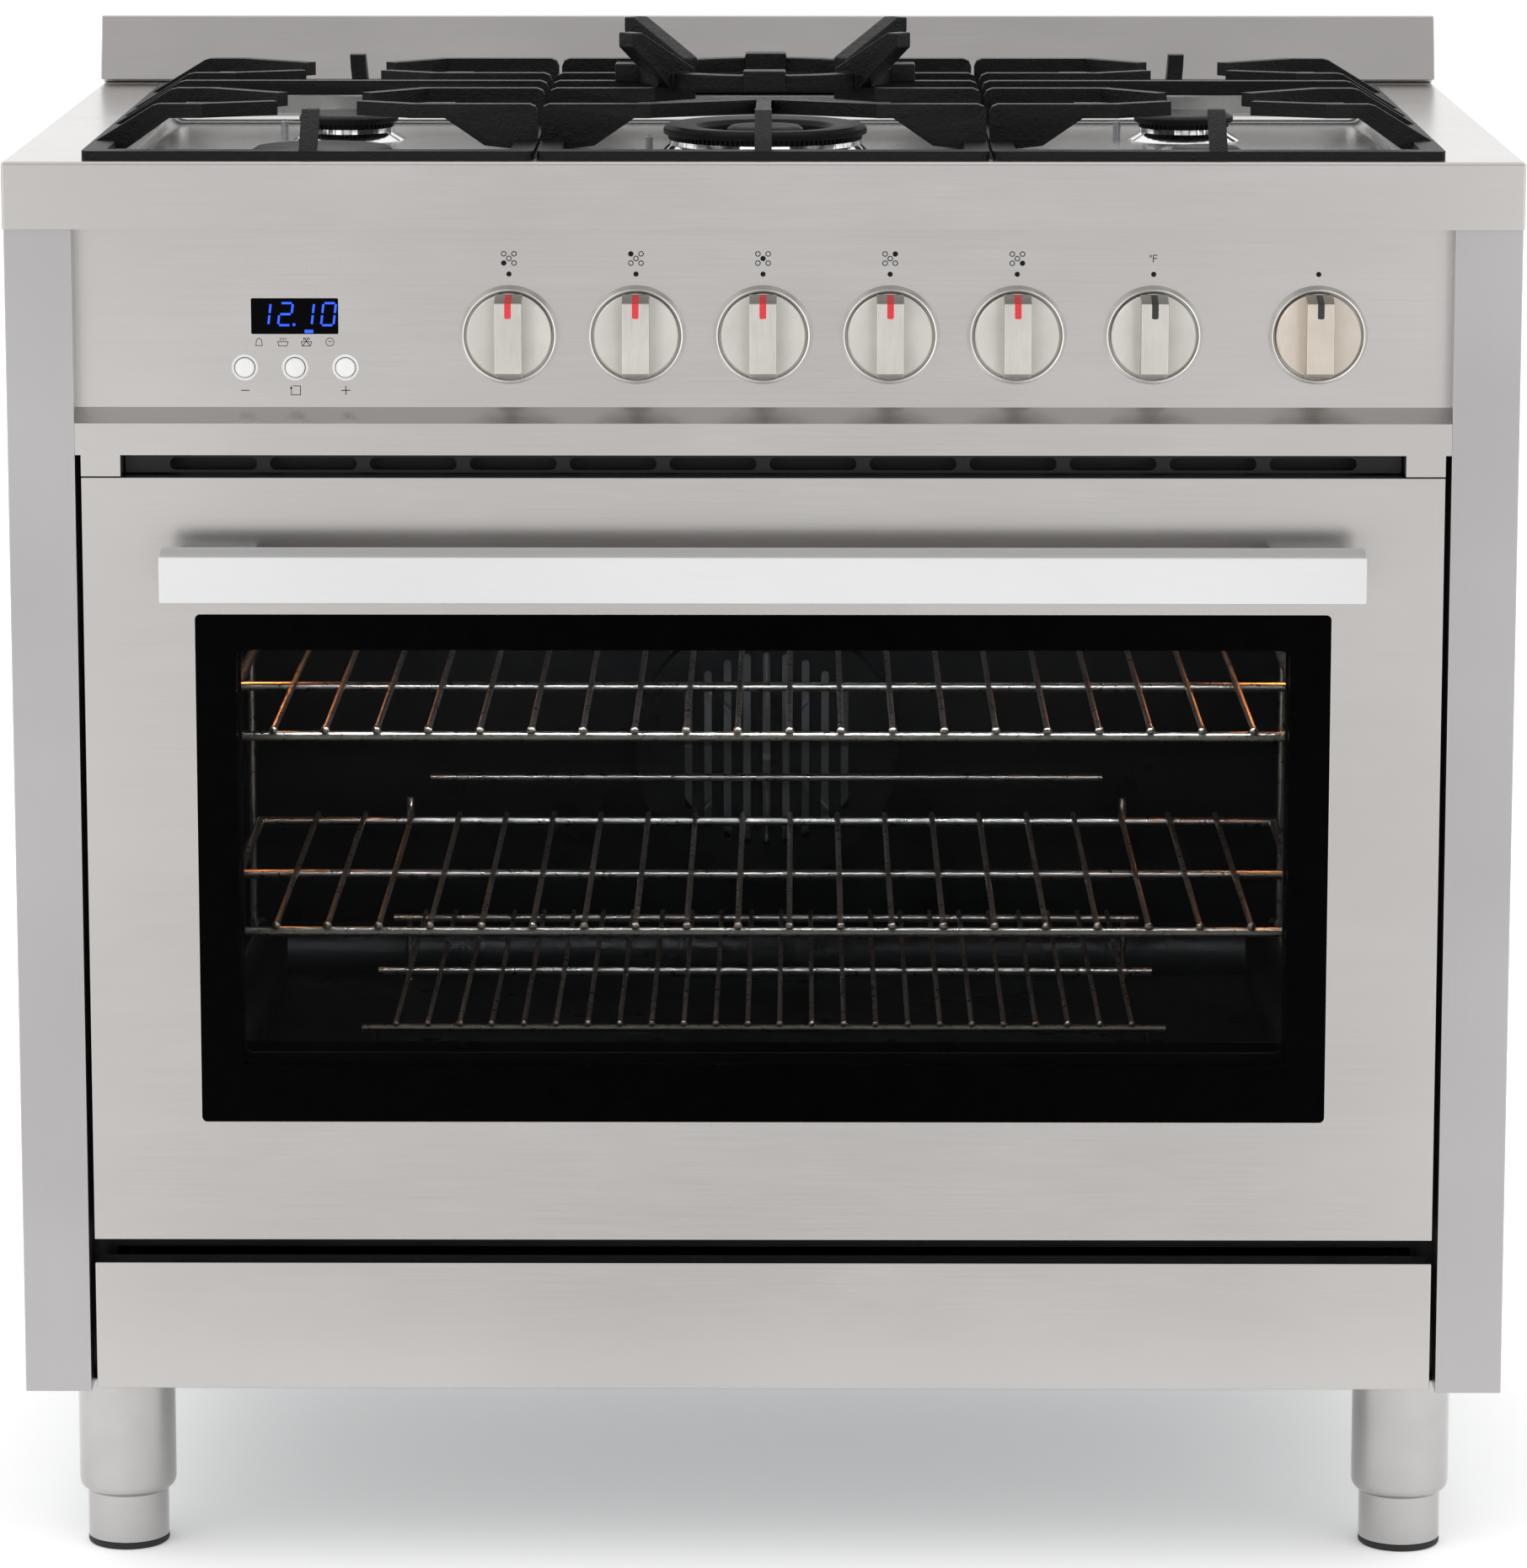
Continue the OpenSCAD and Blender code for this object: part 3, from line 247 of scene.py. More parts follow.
# grain sizes are millimetres along x, y and z: drawn about four times coarser than a 180 grit belt leaves,
# which would be too fine to show
finishes = {
    "brushedFront": brushedSteel("stainlessBrushedFront", {
        "dark": "#B6B3B1", "light": "#BFBCBA", "rough": 0.24, "grain": (80, 0.8, 0.8),
        "streak": 0.14, "bump": 0.035, "drawn": 0.5}),
    "brushedSide": brushedSteel("stainlessBrushedSide", {
        "dark": "#ACAAAB", "light": "#B6B4B5", "rough": 0.30, "grain": (0.8, 0.8, 80),
        "streak": 0.14, "bump": 0.035, "drawn": 0.4}),
    "pressedWell": brushedSteel("stainlessPressedWell", {
        "dark": "#CDCCCB", "light": "#D6D5D4", "rough": 0.21, "grain": (60, 1.2, 1.2),
        "streak": 0.1, "bump": 0.015, "drawn": 0.0}),
    "anodised": brushedSteel("anodisedAluminiumBar", {
        "dark": "#C9C9C9", "light": "#D4D4D4", "rough": 0.40, "grain": (60, 0.7, 0.7), "streak": 0.25,
        "bump": 0.1, "drawn": 0.4, "metal": 0.55}),
    "turnedSteel": platedMetal("turnedStainlessTube", {
        "dark": "#B5B3B2", "light": "#BAB9B7", "rough": 0.17, "grain": (40, 40, 0.8), "scratch": 0.02}),
    "castAluminium": platedMetal("dieCastAluminium", {
        "dark": "#9C9D9F", "light": "#B4B5B7", "rough": 0.42, "grain": (2, 2, 2), "scratch": 0.5}),
    "galvanised": platedMetal("galvanisedSheet", {
        "dark": "#9A9C9E", "light": "#A5A7A9", "rough": 0.45, "grain": (9, 9, 9), "scratch": 0.3}),
    "chrome": platedMetal("chromePlate", {
        "dark": "#DEDEDF", "light": "#ECECED", "rough": 0.10, "grain": (9, 9, 9), "scratch": 0.1}),
    "rackWire": platedMetal("chromedRackWire", {
        "dark": "#C9C4BA", "light": "#DBD6CC", "rough": 0.30, "grain": (5, 5, 5), "scratch": 0.2}),
    "satinNickel": platedMetal("satinNickelKnob", {
        "dark": "#BDBAB4", "light": "#C7C4BE", "rough": 0.38, "grain": (0.9, 0.9, 9), "scratch": 0.08}),
    "warmNickel": platedMetal("satinNickelWarm", {
        "dark": "#BFB5AA", "light": "#CAC1B6", "rough": 0.38, "grain": (0.9, 0.9, 9), "scratch": 0.08}),
    "satinChrome": platedMetal("satinChromeRing", {
        "dark": "#C6C5C1", "light": "#D4D3CF", "rough": 0.16, "grain": (2, 2, 2), "scratch": 0.15}),
    "brass": platedMetal("drawnBrass", {
        "dark": "#A98743", "light": "#C9A860", "rough": 0.28, "grain": (30, 3, 3), "scratch": 0.4}),
    "ovenEnamel": blackEnamel("vitreousEnamelOven", {
        "dark": "#050506", "light": "#0A0A0B", "rough": 0.30, "peel": 0.05, "shine": 0.35}),
    "frameEnamel": blackEnamel("vitreousEnamelFrame", {
        "dark": "#0A0A0B", "light": "#121214", "rough": 0.38, "peel": 0.05, "shine": 0.3}),
    "capEnamel": blackEnamel("mattEnamelCap", {
        "dark": "#060607", "light": "#0B0B0C", "rough": 0.44, "peel": 0.08, "shine": 0.16}),
    # the grate's edge colour is a painted highlight on its convex edges
    "ironGrate": castIron("sandCastIron", {
        "dark": "#040405", "edge": "#161617", "rough": 0.44, "sand": 0.6, "shine": 0.17}),
    "blackGlass": temperedGlass("printedBlackGlass", {
        "dark": "#010101", "light": "#020302", "rough": 0.03, "alpha": 1.0, "shine": 0.02}),
    "windowGlass": temperedGlass("tintedWindowGlass", {
        "dark": "#010101", "light": "#020202", "rough": 0.02, "alpha": 0.35, "shine": 0.04}),
    "innerGlass": temperedGlass("clearInnerGlass", {
        "dark": "#101617", "light": "#161C1D", "rough": 0.02, "alpha": 0.10, "shine": 0.1}),
    "lampGlass": glowing("warmLampGlass", {"dark": "#FFB35A", "light": "#FFD9A0", "glow": 0.6}),
    "digits": glowing("blueNumerals", {"dark": "#0A3CF0", "light": "#1450FA", "glow": 1.1}),
    "whiteButton": mouldedPlastic("whiteMouldedPlastic", {
        "dark": "#D6D6D5", "light": "#E2E2E1", "rough": 0.28, "skin": 0.02, "shine": 0.5}),
    "ceramic": mouldedPlastic("glazedCeramic", {
        "dark": "#A9A7A1", "light": "#B9B7B1", "rough": 0.22, "skin": 0.02, "shine": 0.5}),
    "blackPlastic": mouldedPlastic("blackMouldedPlastic", {
        "dark": "#101112", "light": "#191A1B", "rough": 0.40, "skin": 0.04, "shine": 0.4}),
    "rubber": mouldedPlastic("blackRubber", {
        "dark": "#222222", "light": "#2A2A2A", "rough": 0.62, "skin": 0.08, "shine": 0.3}),
    "displayWindow": mouldedPlastic("darkDisplayWindow", {
        "dark": "#020203", "light": "#040406", "rough": 0.10, "skin": 0.005, "shine": 0.04}),
    "ink": mouldedPlastic("screenPrintInk", {
        "dark": "#121213", "light": "#1A1A1B", "rough": 0.55, "skin": 0.01, "shine": 0.1}),
    "redLacquer": mouldedPlastic("redMarkLacquer", {
        "dark": "#C4202C", "light": "#D42C36", "rough": 0.30, "skin": 0.01, "shine": 0.5}),
    "blackLacquer": mouldedPlastic("blackMarkLacquer", {
        "dark": "#1A1A1A", "light": "#242424", "rough": 0.30, "skin": 0.01, "shine": 0.5}),
    "drawerPaint": mouldedPlastic("darkPowderCoat", {
        "dark": "#2A2B2D", "light": "#343538", "rough": 0.55, "skin": 0.12, "shine": 0.4}),
    "wool": glassWool("needledGlassWool", {"dark": "#B39F55", "light": "#DCCB86"}),
}
print("materials made:", len(finishes))


# ---- meshes

def grainMap(mesh, along):
    # lays the brushing direction, so that the sheen is drawn out across it
    layer = mesh.uv_layers.new(name="grain")
    first = {"x": 0, "z": 2}[along]
    for face in mesh.polygons:
        n = face.normal
        lengthAxis = first if abs(n[first]) < 0.9 else 1
        others = [i for i in range(3) if i != lengthAxis]
        widthAxis = min(others, key=lambda i: abs(n[i]))
        for loop in face.loop_indices:
            point = mesh.vertices[mesh.loops[loop].vertex_index].co
            layer.data[loop].uv = (point[lengthAxis], point[widthAxis])


def setPiece(name, mesh, finish, body, node=None, slot=None, angle=35, keepNormals=False):
    # links a mesh as a piece that rides on a body
    piece = bpy.data.objects.new(name, mesh)
    scene.collection.objects.link(piece)
    mesh.materials.clear()
    mesh.materials.append(finishes[finish])
    if not keepNormals:
        mesh.shade_smooth()
        mesh.set_sharp_from_angle(angle=math.radians(angle))
    if finish in ("brushedFront", "anodised", "pressedWell"):
        grainMap(mesh, "x")
    if finish == "brushedSide":
        grainMap(mesh, "z")
    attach(piece, body)
    replaced = [node] if isinstance(node, str) else list(node or [])
    if replaced:
        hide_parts(*replaced)


def meshFrom(bm, name):
    bmesh.ops.recalc_face_normals(bm, faces=bm.faces)
    made = bpy.data.meshes.new(name)
    bm.to_mesh(made)
    bm.free()
    return made


def buildPiece(name, bm, finish, body, node=None, **more):
    setPiece(name, meshFrom(bm, name), finish, body, node, **more)


def withModifiers(mesh, steps):
    # applies modifiers, each (kind, settings), to a loose mesh
    holder = bpy.data.objects.new("holder", mesh)
    scene.collection.objects.link(holder)
    for kind, settings in steps:
        modifier = holder.modifiers.new(kind, kind)
        for name, value in settings.items():
            setattr(modifier, name, value)
    graph = bpy.context.evaluated_depsgraph_get()
    made = bpy.data.meshes.new_from_object(holder.evaluated_get(graph))
    bpy.data.objects.remove(holder)
    return made


def softened(mesh, bevel, segments=2, angle=35):
    # rounded edges, with flat faces kept flat
    mesh.shade_smooth()
    mesh.set_sharp_from_angle(angle=math.radians(angle))
    return withModifiers(mesh, [
        ("BEVEL", {"width": bevel * mm, "segments": segments, "limit_method": "ANGLE",
                   "angle_limit": math.radians(40), "use_clamp_overlap": True}),
        ("WEIGHTED_NORMAL", {"weight": 100, "keep_sharp": False})])


def evenNormals(mesh, angle=50):
    # flat areas stay flat where they run into a rounded fold
    mesh.shade_smooth()
    mesh.set_sharp_from_angle(angle=math.radians(angle))
    return withModifiers(mesh, [("WEIGHTED_NORMAL", {"weight": 100, "keep_sharp": True})])


def cleanCopy(node):
    # a CAD node's mesh with its flat faces whole
    bm = bmesh.new()
    bm.from_mesh(frame["nodes"][node].data)
    bmesh.ops.remove_doubles(bm, verts=bm.verts, dist=1e-6)
    bmesh.ops.dissolve_limit(bm, angle_limit=math.radians(0.5), verts=bm.verts, edges=bm.edges)
    return bm


def finishNode(node, name, finish, bevel=0.0, segments=2):
    # a CAD node shown as a copy with rounded edges and smooth faces
    mesh = meshFrom(cleanCopy(node), name)
    if bevel:
        mesh = softened(mesh, bevel, segments)
    setPiece(name, mesh, finish, bodyOf[node], node, keepNormals=bool(bevel))


def lathe(bm, profile, centre, axis="z", steps=96, wave=None):
    # turns a closed profile of (radius, height) points round an upright axis, or one that points forward
    rings = []
    for i in range(steps):
        a = 2 * math.pi * i / steps
        ring = []
        for radius, height in profile:
            r = radius * (wave(a) if wave else 1.0)
            across = Vector((r * math.cos(a), r * math.sin(a), height))
            if axis == "y":
                across = Vector((across.x, -across.z, across.y))
            ring.append(bm.verts.new(centre + across * mm))
        rings.append(ring)
    count = len(profile)
    for i in range(steps):
        here, after = rings[i], rings[(i + 1) % steps]
        for j in range(count):
            k = (j + 1) % count
            bm.faces.new((here[j], here[k], after[k], after[j]))
    bmesh.ops.remove_doubles(bm, verts=bm.verts, dist=1e-7)


def arc(cx, cy, radius, start, end, steps=5):
    # points of an arc, in degrees
    angles = [math.radians(start + (end - start) * i / steps) for i in range(steps + 1)]
    return [(cx + radius * math.cos(a), cy + radius * math.sin(a)) for a in angles]


def roundedBox(a, b, radius, steps=5):
    # outline of a rectangle with round corners, from corner a to corner b
    (x0, y0), (x1, y1) = a, b
    r = radius
    return (arc(x1 - r, y1 - r, r, 0, 90, steps) + arc(x0 + r, y1 - r, r, 90, 180, steps)
            + arc(x0 + r, y0 + r, r, 180, 270, steps) + arc(x1 - r, y0 + r, r, 270, 360, steps))


def frontPlate(bm, outline, y0, y1):
    # plate with its outline in x and z, millimetres, from y0 to y1
    front = [bm.verts.new((x * mm, y0 * mm, z * mm)) for x, z in outline]
    back = [bm.verts.new((x * mm, y1 * mm, z * mm)) for x, z in outline]
    bm.faces.new(front)
    bm.faces.new(back[::-1])
    for i in range(len(outline)):
        k = (i + 1) % len(outline)
        bm.faces.new((front[i], back[i], back[k], front[k]))


def bridge(bm, loops):
    # faces between each closed row of points and the next
    for a, b in zip(loops, loops[1:]):
        for i in range(len(a)):
            k = (i + 1) % len(a)
            bm.faces.new((a[i], a[k], b[k], b[i]))


def ringPlate(bm, outer, inner, y0, y1):
    # plate with a hole: outer and inner outlines have the same number of points
    loops = []
    for outline, y in ((outer, y0), (inner, y0), (inner, y1), (outer, y1)):
        loops.append([bm.verts.new((x * mm, y * mm, z * mm)) for x, z in outline])
    bridge(bm, loops + loops[:1])


# ---- sheet metal

plainNodes = {
    "backguard": ("backguardSheet", "brushedFront", 0.8),
    "side_panel_left": ("leftSideSheet", "brushedSide", 0.5),
    "side_panel_right": ("rightSideSheet", "brushedSide", 0.5),
    "rear_panel": ("rearSheet", "galvanised", 0.0),
    "base_pan": ("basePanSheet", "galvanised", 0.3),
    "front_frame": ("enamelledFrontFrame", "frameEnamel", 0.4),
    "control_panel": ("controlPanelSheet", "brushedFront", 0.6),
    "oven_cavity": ("ovenBox", "ovenEnamel", 0.5),
    "oven_floor": ("ovenFloorPlate", "ovenEnamel", 0.3),
    "insulation": ("woolBlanket", "wool", 3.0),
    "door_seal": ("wovenDoorSeal", "rubber", 1.2),
    "rack_ladders": ("wireLadders", "rackWire", 0.0),
    "rack_upper": ("upperRack", "rackWire", 0.0),
    "rack_lower": ("lowerRack", "rackWire", 0.0),
    "fan_cover": ("fanCover", "ovenEnamel", 0.4),
    "fan_blade": ("fanBlade", "castAluminium", 0.2),
    "fan_motor": ("fanMotor", "galvanised", 0.5),
    "oven_burners": ("ovenBurners", "castAluminium", 0.0),
    "oven_lamps": ("ovenLamps", "lampGlass", 1.0),
    "door_skin": ("doorSkin", "brushedFront", 0.8),
    "door_liner": ("doorLiner", "frameEnamel", 0.5),
    "door_glass_inner": ("innerGlassPane", "innerGlass", 0.4),
    "door_hinges": ("doorHingeArms", "galvanised", 0.4),
    "handle_bar": ("handleBar", "anodised", 0.7),
    "handle_posts": ("handlePosts", "castAluminium", 0.8),
    "drawer_front": ("drawerFront", "brushedFront", 0.8),
    "drawer_box": ("drawerBox", "drawerPaint", 0.4),
    "drawer_runners": ("drawerRunners", "galvanised", 0.5),
    "burner_cups": ("burnerCups", "castAluminium", 0.4),
    "gas_rail": ("gasRail", "brass", 0.4),
    "display_module": ("clockHousing", "displayWindow", 0.3),
    "wok_ring": ("wokRing", "ironGrate", 1.6),
    "grate_left": ("leftGrate", "ironGrate", 1.4),
    "grate_centre": ("centreGrate", "ironGrate", 1.4),
    "grate_right": ("rightGrate", "ironGrate", 1.4),
}
for node, (name, finish, bevel) in plainNodes.items():
    finishNode(node, name, finish, bevel, 3 if finish == "ironGrate" else 2)
for cap in burnerNames:
    finishNode("cap_" + cap, "cap_" + cap + "_disc", "capEnamel", 0.6)


def solidsOf(node):
    # a CAD node's separate solids as meshes, widest first
    bm = cleanCopy(node)
    left, groups = set(bm.verts), []
    while left:
        group, queue = set(), [min(left, key=lambda v: v.index)]
        while queue:
            vert = queue.pop()
            if vert not in group:
                group.add(vert)
                queue += [edge.other_vert(vert) for edge in vert.link_edges]
        left -= group
        groups.append(group)
    groups.sort(key=lambda g: min(v.co.x for v in g) - max(v.co.x for v in g))
    made = []
    for group in groups:
        part = bm.copy()
        part.verts.ensure_lookup_table()
        keep = {v.index for v in group}
        bmesh.ops.delete(part, geom=[v for v in part.verts if v.index not in keep], context="VERTS")
        made.append(meshFrom(part, node))
    bm.free()
    return made


# wires end in small upset heads over the front bar; counts and spacing are the rack's own
wireHeads = {"rackCount": 20, "rackPitch": 31.5, "rackRise": 7.3, "rackInset": 1.4, "rackRadius": 2.7,
             "gridCount": 24, "gridMargin": 21, "gridDrop": 1.5, "gridInset": 1.2, "gridRadius": 2.1}


def makeHeads(name, body, spots, radius):
    bm = bmesh.new()
    for x, y, z in spots:
        outline = [(max(r, 0.01), h) for r, h in arc(0, 0, radius, 90, -90, 8)]
        lathe(bm, outline, Vector((x, y, z)) * mm, axis="y", steps=20)
    buildPiece(name, bm, "rackWire", body, slot="chrome")


def makeRackHeads():
    h = wireHeads
    for node in ("rack_upper", "rack_lower"):
        spots = [((i - (h["rackCount"] - 1) / 2) * h["rackPitch"], low(node).y / mm + h["rackInset"],
                  low(node).z / mm + h["rackRise"]) for i in range(h["rackCount"])]
        makeHeads(node + "_heads", bodyOf[node], spots, h["rackRadius"])


def makeGridHeads(mesh):
    h = wireHeads
    xs = [v.co.x / mm for v in mesh.vertices]
    front, top = min(v.co.y for v in mesh.vertices) / mm, max(v.co.z for v in mesh.vertices) / mm
    half = (max(xs) - min(xs)) / 2 - h["gridMargin"]
    spots = [(-half + i * 2 * half / (h["gridCount"] - 1), front + h["gridInset"], top - h["gridDrop"])
             for i in range(h["gridCount"])]
    makeHeads("broilerGrid_heads", bodyOf["broiler_tray"], spots, h["gridRadius"])


makeRackHeads()
pan, *grid = solidsOf("broiler_tray")
makeGridHeads(grid[0])
setPiece("broilerPan", pan, "ovenEnamel", bodyOf["broiler_tray"], "broiler_tray")
for number, wires in enumerate(grid):
    setPiece("broilerGrid%d" % number, wires, "rackWire", bodyOf["broiler_tray"], "broiler_tray",
             slot="chrome")
print("sheet metal, oven and castings done")


# ---- worktop: one sheet, folded down at its edges and pressed into the burner well

worktop = {"sheet": 1.5, "fold": 2.2, "rim": 3.5, "foot": 9.0, "wellCorner": 12.0, "wellSide": 53.0,
           "wellFront": 23.0, "wellBack": 88.0, "wellDepth": 22.0, "cornerSteps": 7, "split": 10,
           "holeShare": 0.72, "holeReach": 8}


def wellRing(z, inset, corner):
    # outline of the worktop, or of its well, as points at a height
    lo, hi = low("worktop") / mm, high("worktop") / mm
    w = worktop
    if inset is None:
        a, b, corner = (lo.x, lo.y), (hi.x, hi.y), 1.6
    else:
        a = (lo.x + w["wellSide"] + inset, lo.y + w["wellFront"] + inset)
        b = (hi.x - w["wellSide"] - inset, hi.y - w["wellBack"] - inset)
    return [Vector((x, y, z)) for x, y in roundedBox(a, b, corner, w["cornerSteps"])]


def makeWorktop():
    w = worktop
    top, bottom = high("worktop").z / mm, low("worktop").z / mm
    floorZ = top - w["wellDepth"]
    outer = wellRing(top, None, 0)
    centre = Vector((0, sum(p.y for p in outer) / len(outer), 0))
    rings = [[Vector((p.x, p.y, bottom)) for p in outer]]
    for inset, rise in arc(w["fold"], -w["fold"], w["fold"], 180, 90, 4):
        ring = []
        for p in outer:
            sideways = Vector((math.copysign(1, p.x - centre.x), math.copysign(1, p.y - centre.y), 0))
            ring.append(Vector((p.x, p.y, top + rise)) - sideways * inset)
        rings.append(ring)
    for inset, rise in arc(-w["rim"], -w["rim"], w["rim"], 90, 0, 5):
        rings.append(wellRing(top + rise, inset, w["wellCorner"] + 1 - inset))
    for inset, rise in arc(w["foot"], w["foot"], w["foot"], 180, 270, 7):
        rings.append(wellRing(floorZ + rise, inset, max(w["wellCorner"] + 1 - inset, 4.0)))
    bm = bmesh.new()
    bridge(bm, [[bm.verts.new(p * mm) for p in ring] for ring in rings[:w["split"] + 1]])
    well = bmesh.new()
    wellLoops = [[well.verts.new(p * mm) for p in ring] for ring in rings[w["split"]:]]
    bridge(well, wellLoops)
    well.faces.new(wellLoops[-1])
    cutter = bmesh.new()
    for name in burnerNames:
        spot = middle("cap_" + name) / mm
        spot.z = floorZ
        radius = (high("cap_" + name).x - low("cap_" + name).x) / 2 / mm * w["holeShare"]
        reach = w["holeReach"]
        hole = [(0.01, -reach), (radius, -reach), (radius, reach), (0.01, reach)]
        lathe(cutter, hole, spot * mm, steps=48)
    holes = bpy.data.objects.new("holes", meshFrom(cutter, "holes"))
    scene.collection.objects.link(holes)
    folded = ("SOLIDIFY", {"thickness": w["sheet"] * mm, "offset": -1.0})
    sheet = withModifiers(meshFrom(bm, "worktopSheet"), [folded])
    pressed = withModifiers(meshFrom(well, "burnerWell"), [
        folded, ("BOOLEAN", {"operation": "DIFFERENCE", "solver": "EXACT", "object": holes})])
    bpy.data.objects.remove(holes)
    setPiece("worktopSheet", evenNormals(sheet), "brushedFront", "body", "worktop", keepNormals=True)
    setPiece("burnerWell", evenNormals(pressed), "pressedWell", "body", "worktop", keepNormals=True)
    return floorZ


floorZ = makeWorktop()
print("worktop pressed")


# ---- burners

burner = {"flare": 9.0, "ports": 3.0, "rimHeight": 13.0, "portWidth": 1.6, "sparkRadius": 1.7,
          "facets": 36, "facetDepth": 0.004, "capOverhang": 4.0, "bore": 10.5, "centreLift": 3.0,
          "innerPorts": 22.0, "sparkAngle": 165, "sparkGap": 5}
crownFoot = {"front_left": 48, "rear_left": 39, "centre": 71, "rear_right": 39, "front_right": 27}


def makeCrown(name, capRadius, lift):
    # chromed crown that flares down to the well, under a black ring of flame ports
    b = burner
    spot = middle("cap_" + name)
    spot.z = floorZ * mm
    topRadius = capRadius - b["capOverhang"]
    footRadius = topRadius + b["flare"]
    rim = b["rimHeight"] + lift
    chromeTop = rim - b["ports"]
    bore = b["bore"]
    profile = [(bore, 0.2), (footRadius - 1, 0.2), (footRadius, 0.6), (footRadius, 1.2)]
    profile += [(footRadius - 1.2, 2.2), (topRadius + 1.6, chromeTop - 4.4),
                (topRadius + 0.6, chromeTop - 3.4), (topRadius + 0.2, chromeTop - 0.5),
                (topRadius - 0.4, chromeTop)]
    if name == "centre":
        profile += [(42, chromeTop), (40, 6), (28, 6), (23, chromeTop)]
    profile += [(bore, chromeTop)]
    crown = bmesh.new()
    lathe(crown, profile, spot, steps=144,
          wave=lambda a: 1 + b["facetDepth"] * abs(math.sin(a * b["facets"] / 2)))
    buildPiece("crown_" + name, crown, "chrome", "body", "burner_crowns", angle=28)
    head = bmesh.new()
    radii = [topRadius + 1.0] + ([b["innerPorts"]] if name == "centre" else [])
    for radius in radii:
        inner, outer = radius - 6, radius - 1.5
        lathe(head, [(inner, chromeTop), (outer, chromeTop), (outer, rim), (inner, rim)], spot, steps=96)
        count = int(2 * math.pi * radius / (2.1 * b["portWidth"]))
        for i in range(count):
            a = 2 * math.pi * i / count
            out, side = Vector((math.cos(a), math.sin(a), 0)), Vector((-math.sin(a), math.cos(a), 0))
            corners = []
            for z in (chromeTop, rim):
                for r, t in ((radius - 2, -1), (radius, -1), (radius, 1), (radius - 2, 1)):
                    point = spot + (out * r + side * t * b["portWidth"] / 2 + Vector((0, 0, z))) * mm
                    corners.append(head.verts.new(point))
            for face in ((0, 1, 2, 3), (7, 6, 5, 4), (0, 4, 5, 1), (1, 5, 6, 2), (2, 6, 7, 3), (3, 7, 4, 0)):
                head.faces.new([corners[j] for j in face])
    buildPiece("ports_" + name, head, "capEnamel", "body", slot="cap_enamel")


def makeSpark(name):
    # ceramic body and steel tip of the spark electrode, beside its crown
    spot = middle("cap_" + name) / mm
    a = math.radians(burner["sparkAngle"])
    spot += Vector((math.cos(a), math.sin(a), 0)) * (crownFoot[name] + burner["sparkGap"])
    spot.z = floorZ
    r = burner["sparkRadius"]
    body = bmesh.new()
    lathe(body, [(0.01, -2), (r, -2), (r, 9.5), (r - 0.5, 11.2), (0.01, 11.3)], spot * mm, steps=24)
    buildPiece("spark_" + name, body, "ceramic", "body", slot="white_plastic")
    tip = bmesh.new()
    lathe(tip, [(0.01, 11), (0.7, 11), (0.7, 13.2), (0.01, 13.5)], spot * mm, steps=16)
    buildPiece("sparkTip_" + name, tip, "turnedSteel", "body", slot="chrome")


for name in burnerNames:
    capRadius = (high("cap_" + name).x - low("cap_" + name).x) / 2 / mm
    makeCrown(name, capRadius, burner["centreLift"] if name == "centre" else 0.0)
    makeSpark(name)
print("burners turned")


# ---- knobs, rings and buttons

knob = {"radius": 25.5, "ring": 29.5, "gripWidth": 16.5, "lean": 4.0, "edge": 0.7, "markWidth": 3.9,
        "markLength": 9.0, "markProud": 0.12, "groove": 0.9, "gripTall": 15.5, "redMarks": 5}
button = {"gapOuter": 6.15, "collarInner": 6.2, "collarOuter": 8.0}


def makeKnob(number):
    node = "knob_%d" % number
    k = knob
    lo, hi = low(node) / mm, high(node) / mm
    centre = Vector(((lo.x + hi.x) / 2, 0, (lo.z + hi.z) / 2))
    front, back = lo.y, hi.y
    dial = front + k["gripTall"]
    finish = "warmNickel" if number == knobCount else "satinNickel"
    r = k["radius"]
    bm = bmesh.new()
    profile = [(0.01, dial + 0.1), (r - 1.6, dial + 0.1), (r - 1.0, dial), (r - 0.3, dial + 0.5),
               (r, dial + 1.2), (r, back), (0.01, back)]
    lathe(bm, [(p, -y) for p, y in profile], centre * mm, axis="y", steps=128)
    buildPiece("knobDial_%d" % number, bm, finish, node, node, angle=30)
    half = r - 0.5
    outline = [(dial + 1, -half), (front, -half + k["lean"]), (front, half - k["lean"]), (dial + 1, half)]
    bm = bmesh.new()
    sides = []
    for x in (-k["gripWidth"] / 2, k["gripWidth"] / 2):
        sides.append([bm.verts.new(Vector((centre.x + x, y, centre.z + z)) * mm) for y, z in outline])
    bm.faces.new(sides[0])
    bm.faces.new(sides[1][::-1])
    for i in range(4):
        j = (i + 1) % 4
        bm.faces.new((sides[0][i], sides[1][i], sides[1][j], sides[0][j]))
    mesh = softened(meshFrom(bm, "knobGrip_%d" % number), k["edge"], 3)
    setPiece("knobGrip_%d" % number, mesh, finish, node, slot="knob_metal", keepNormals=True)
    makeMark(number, node, centre, front, dial, half)


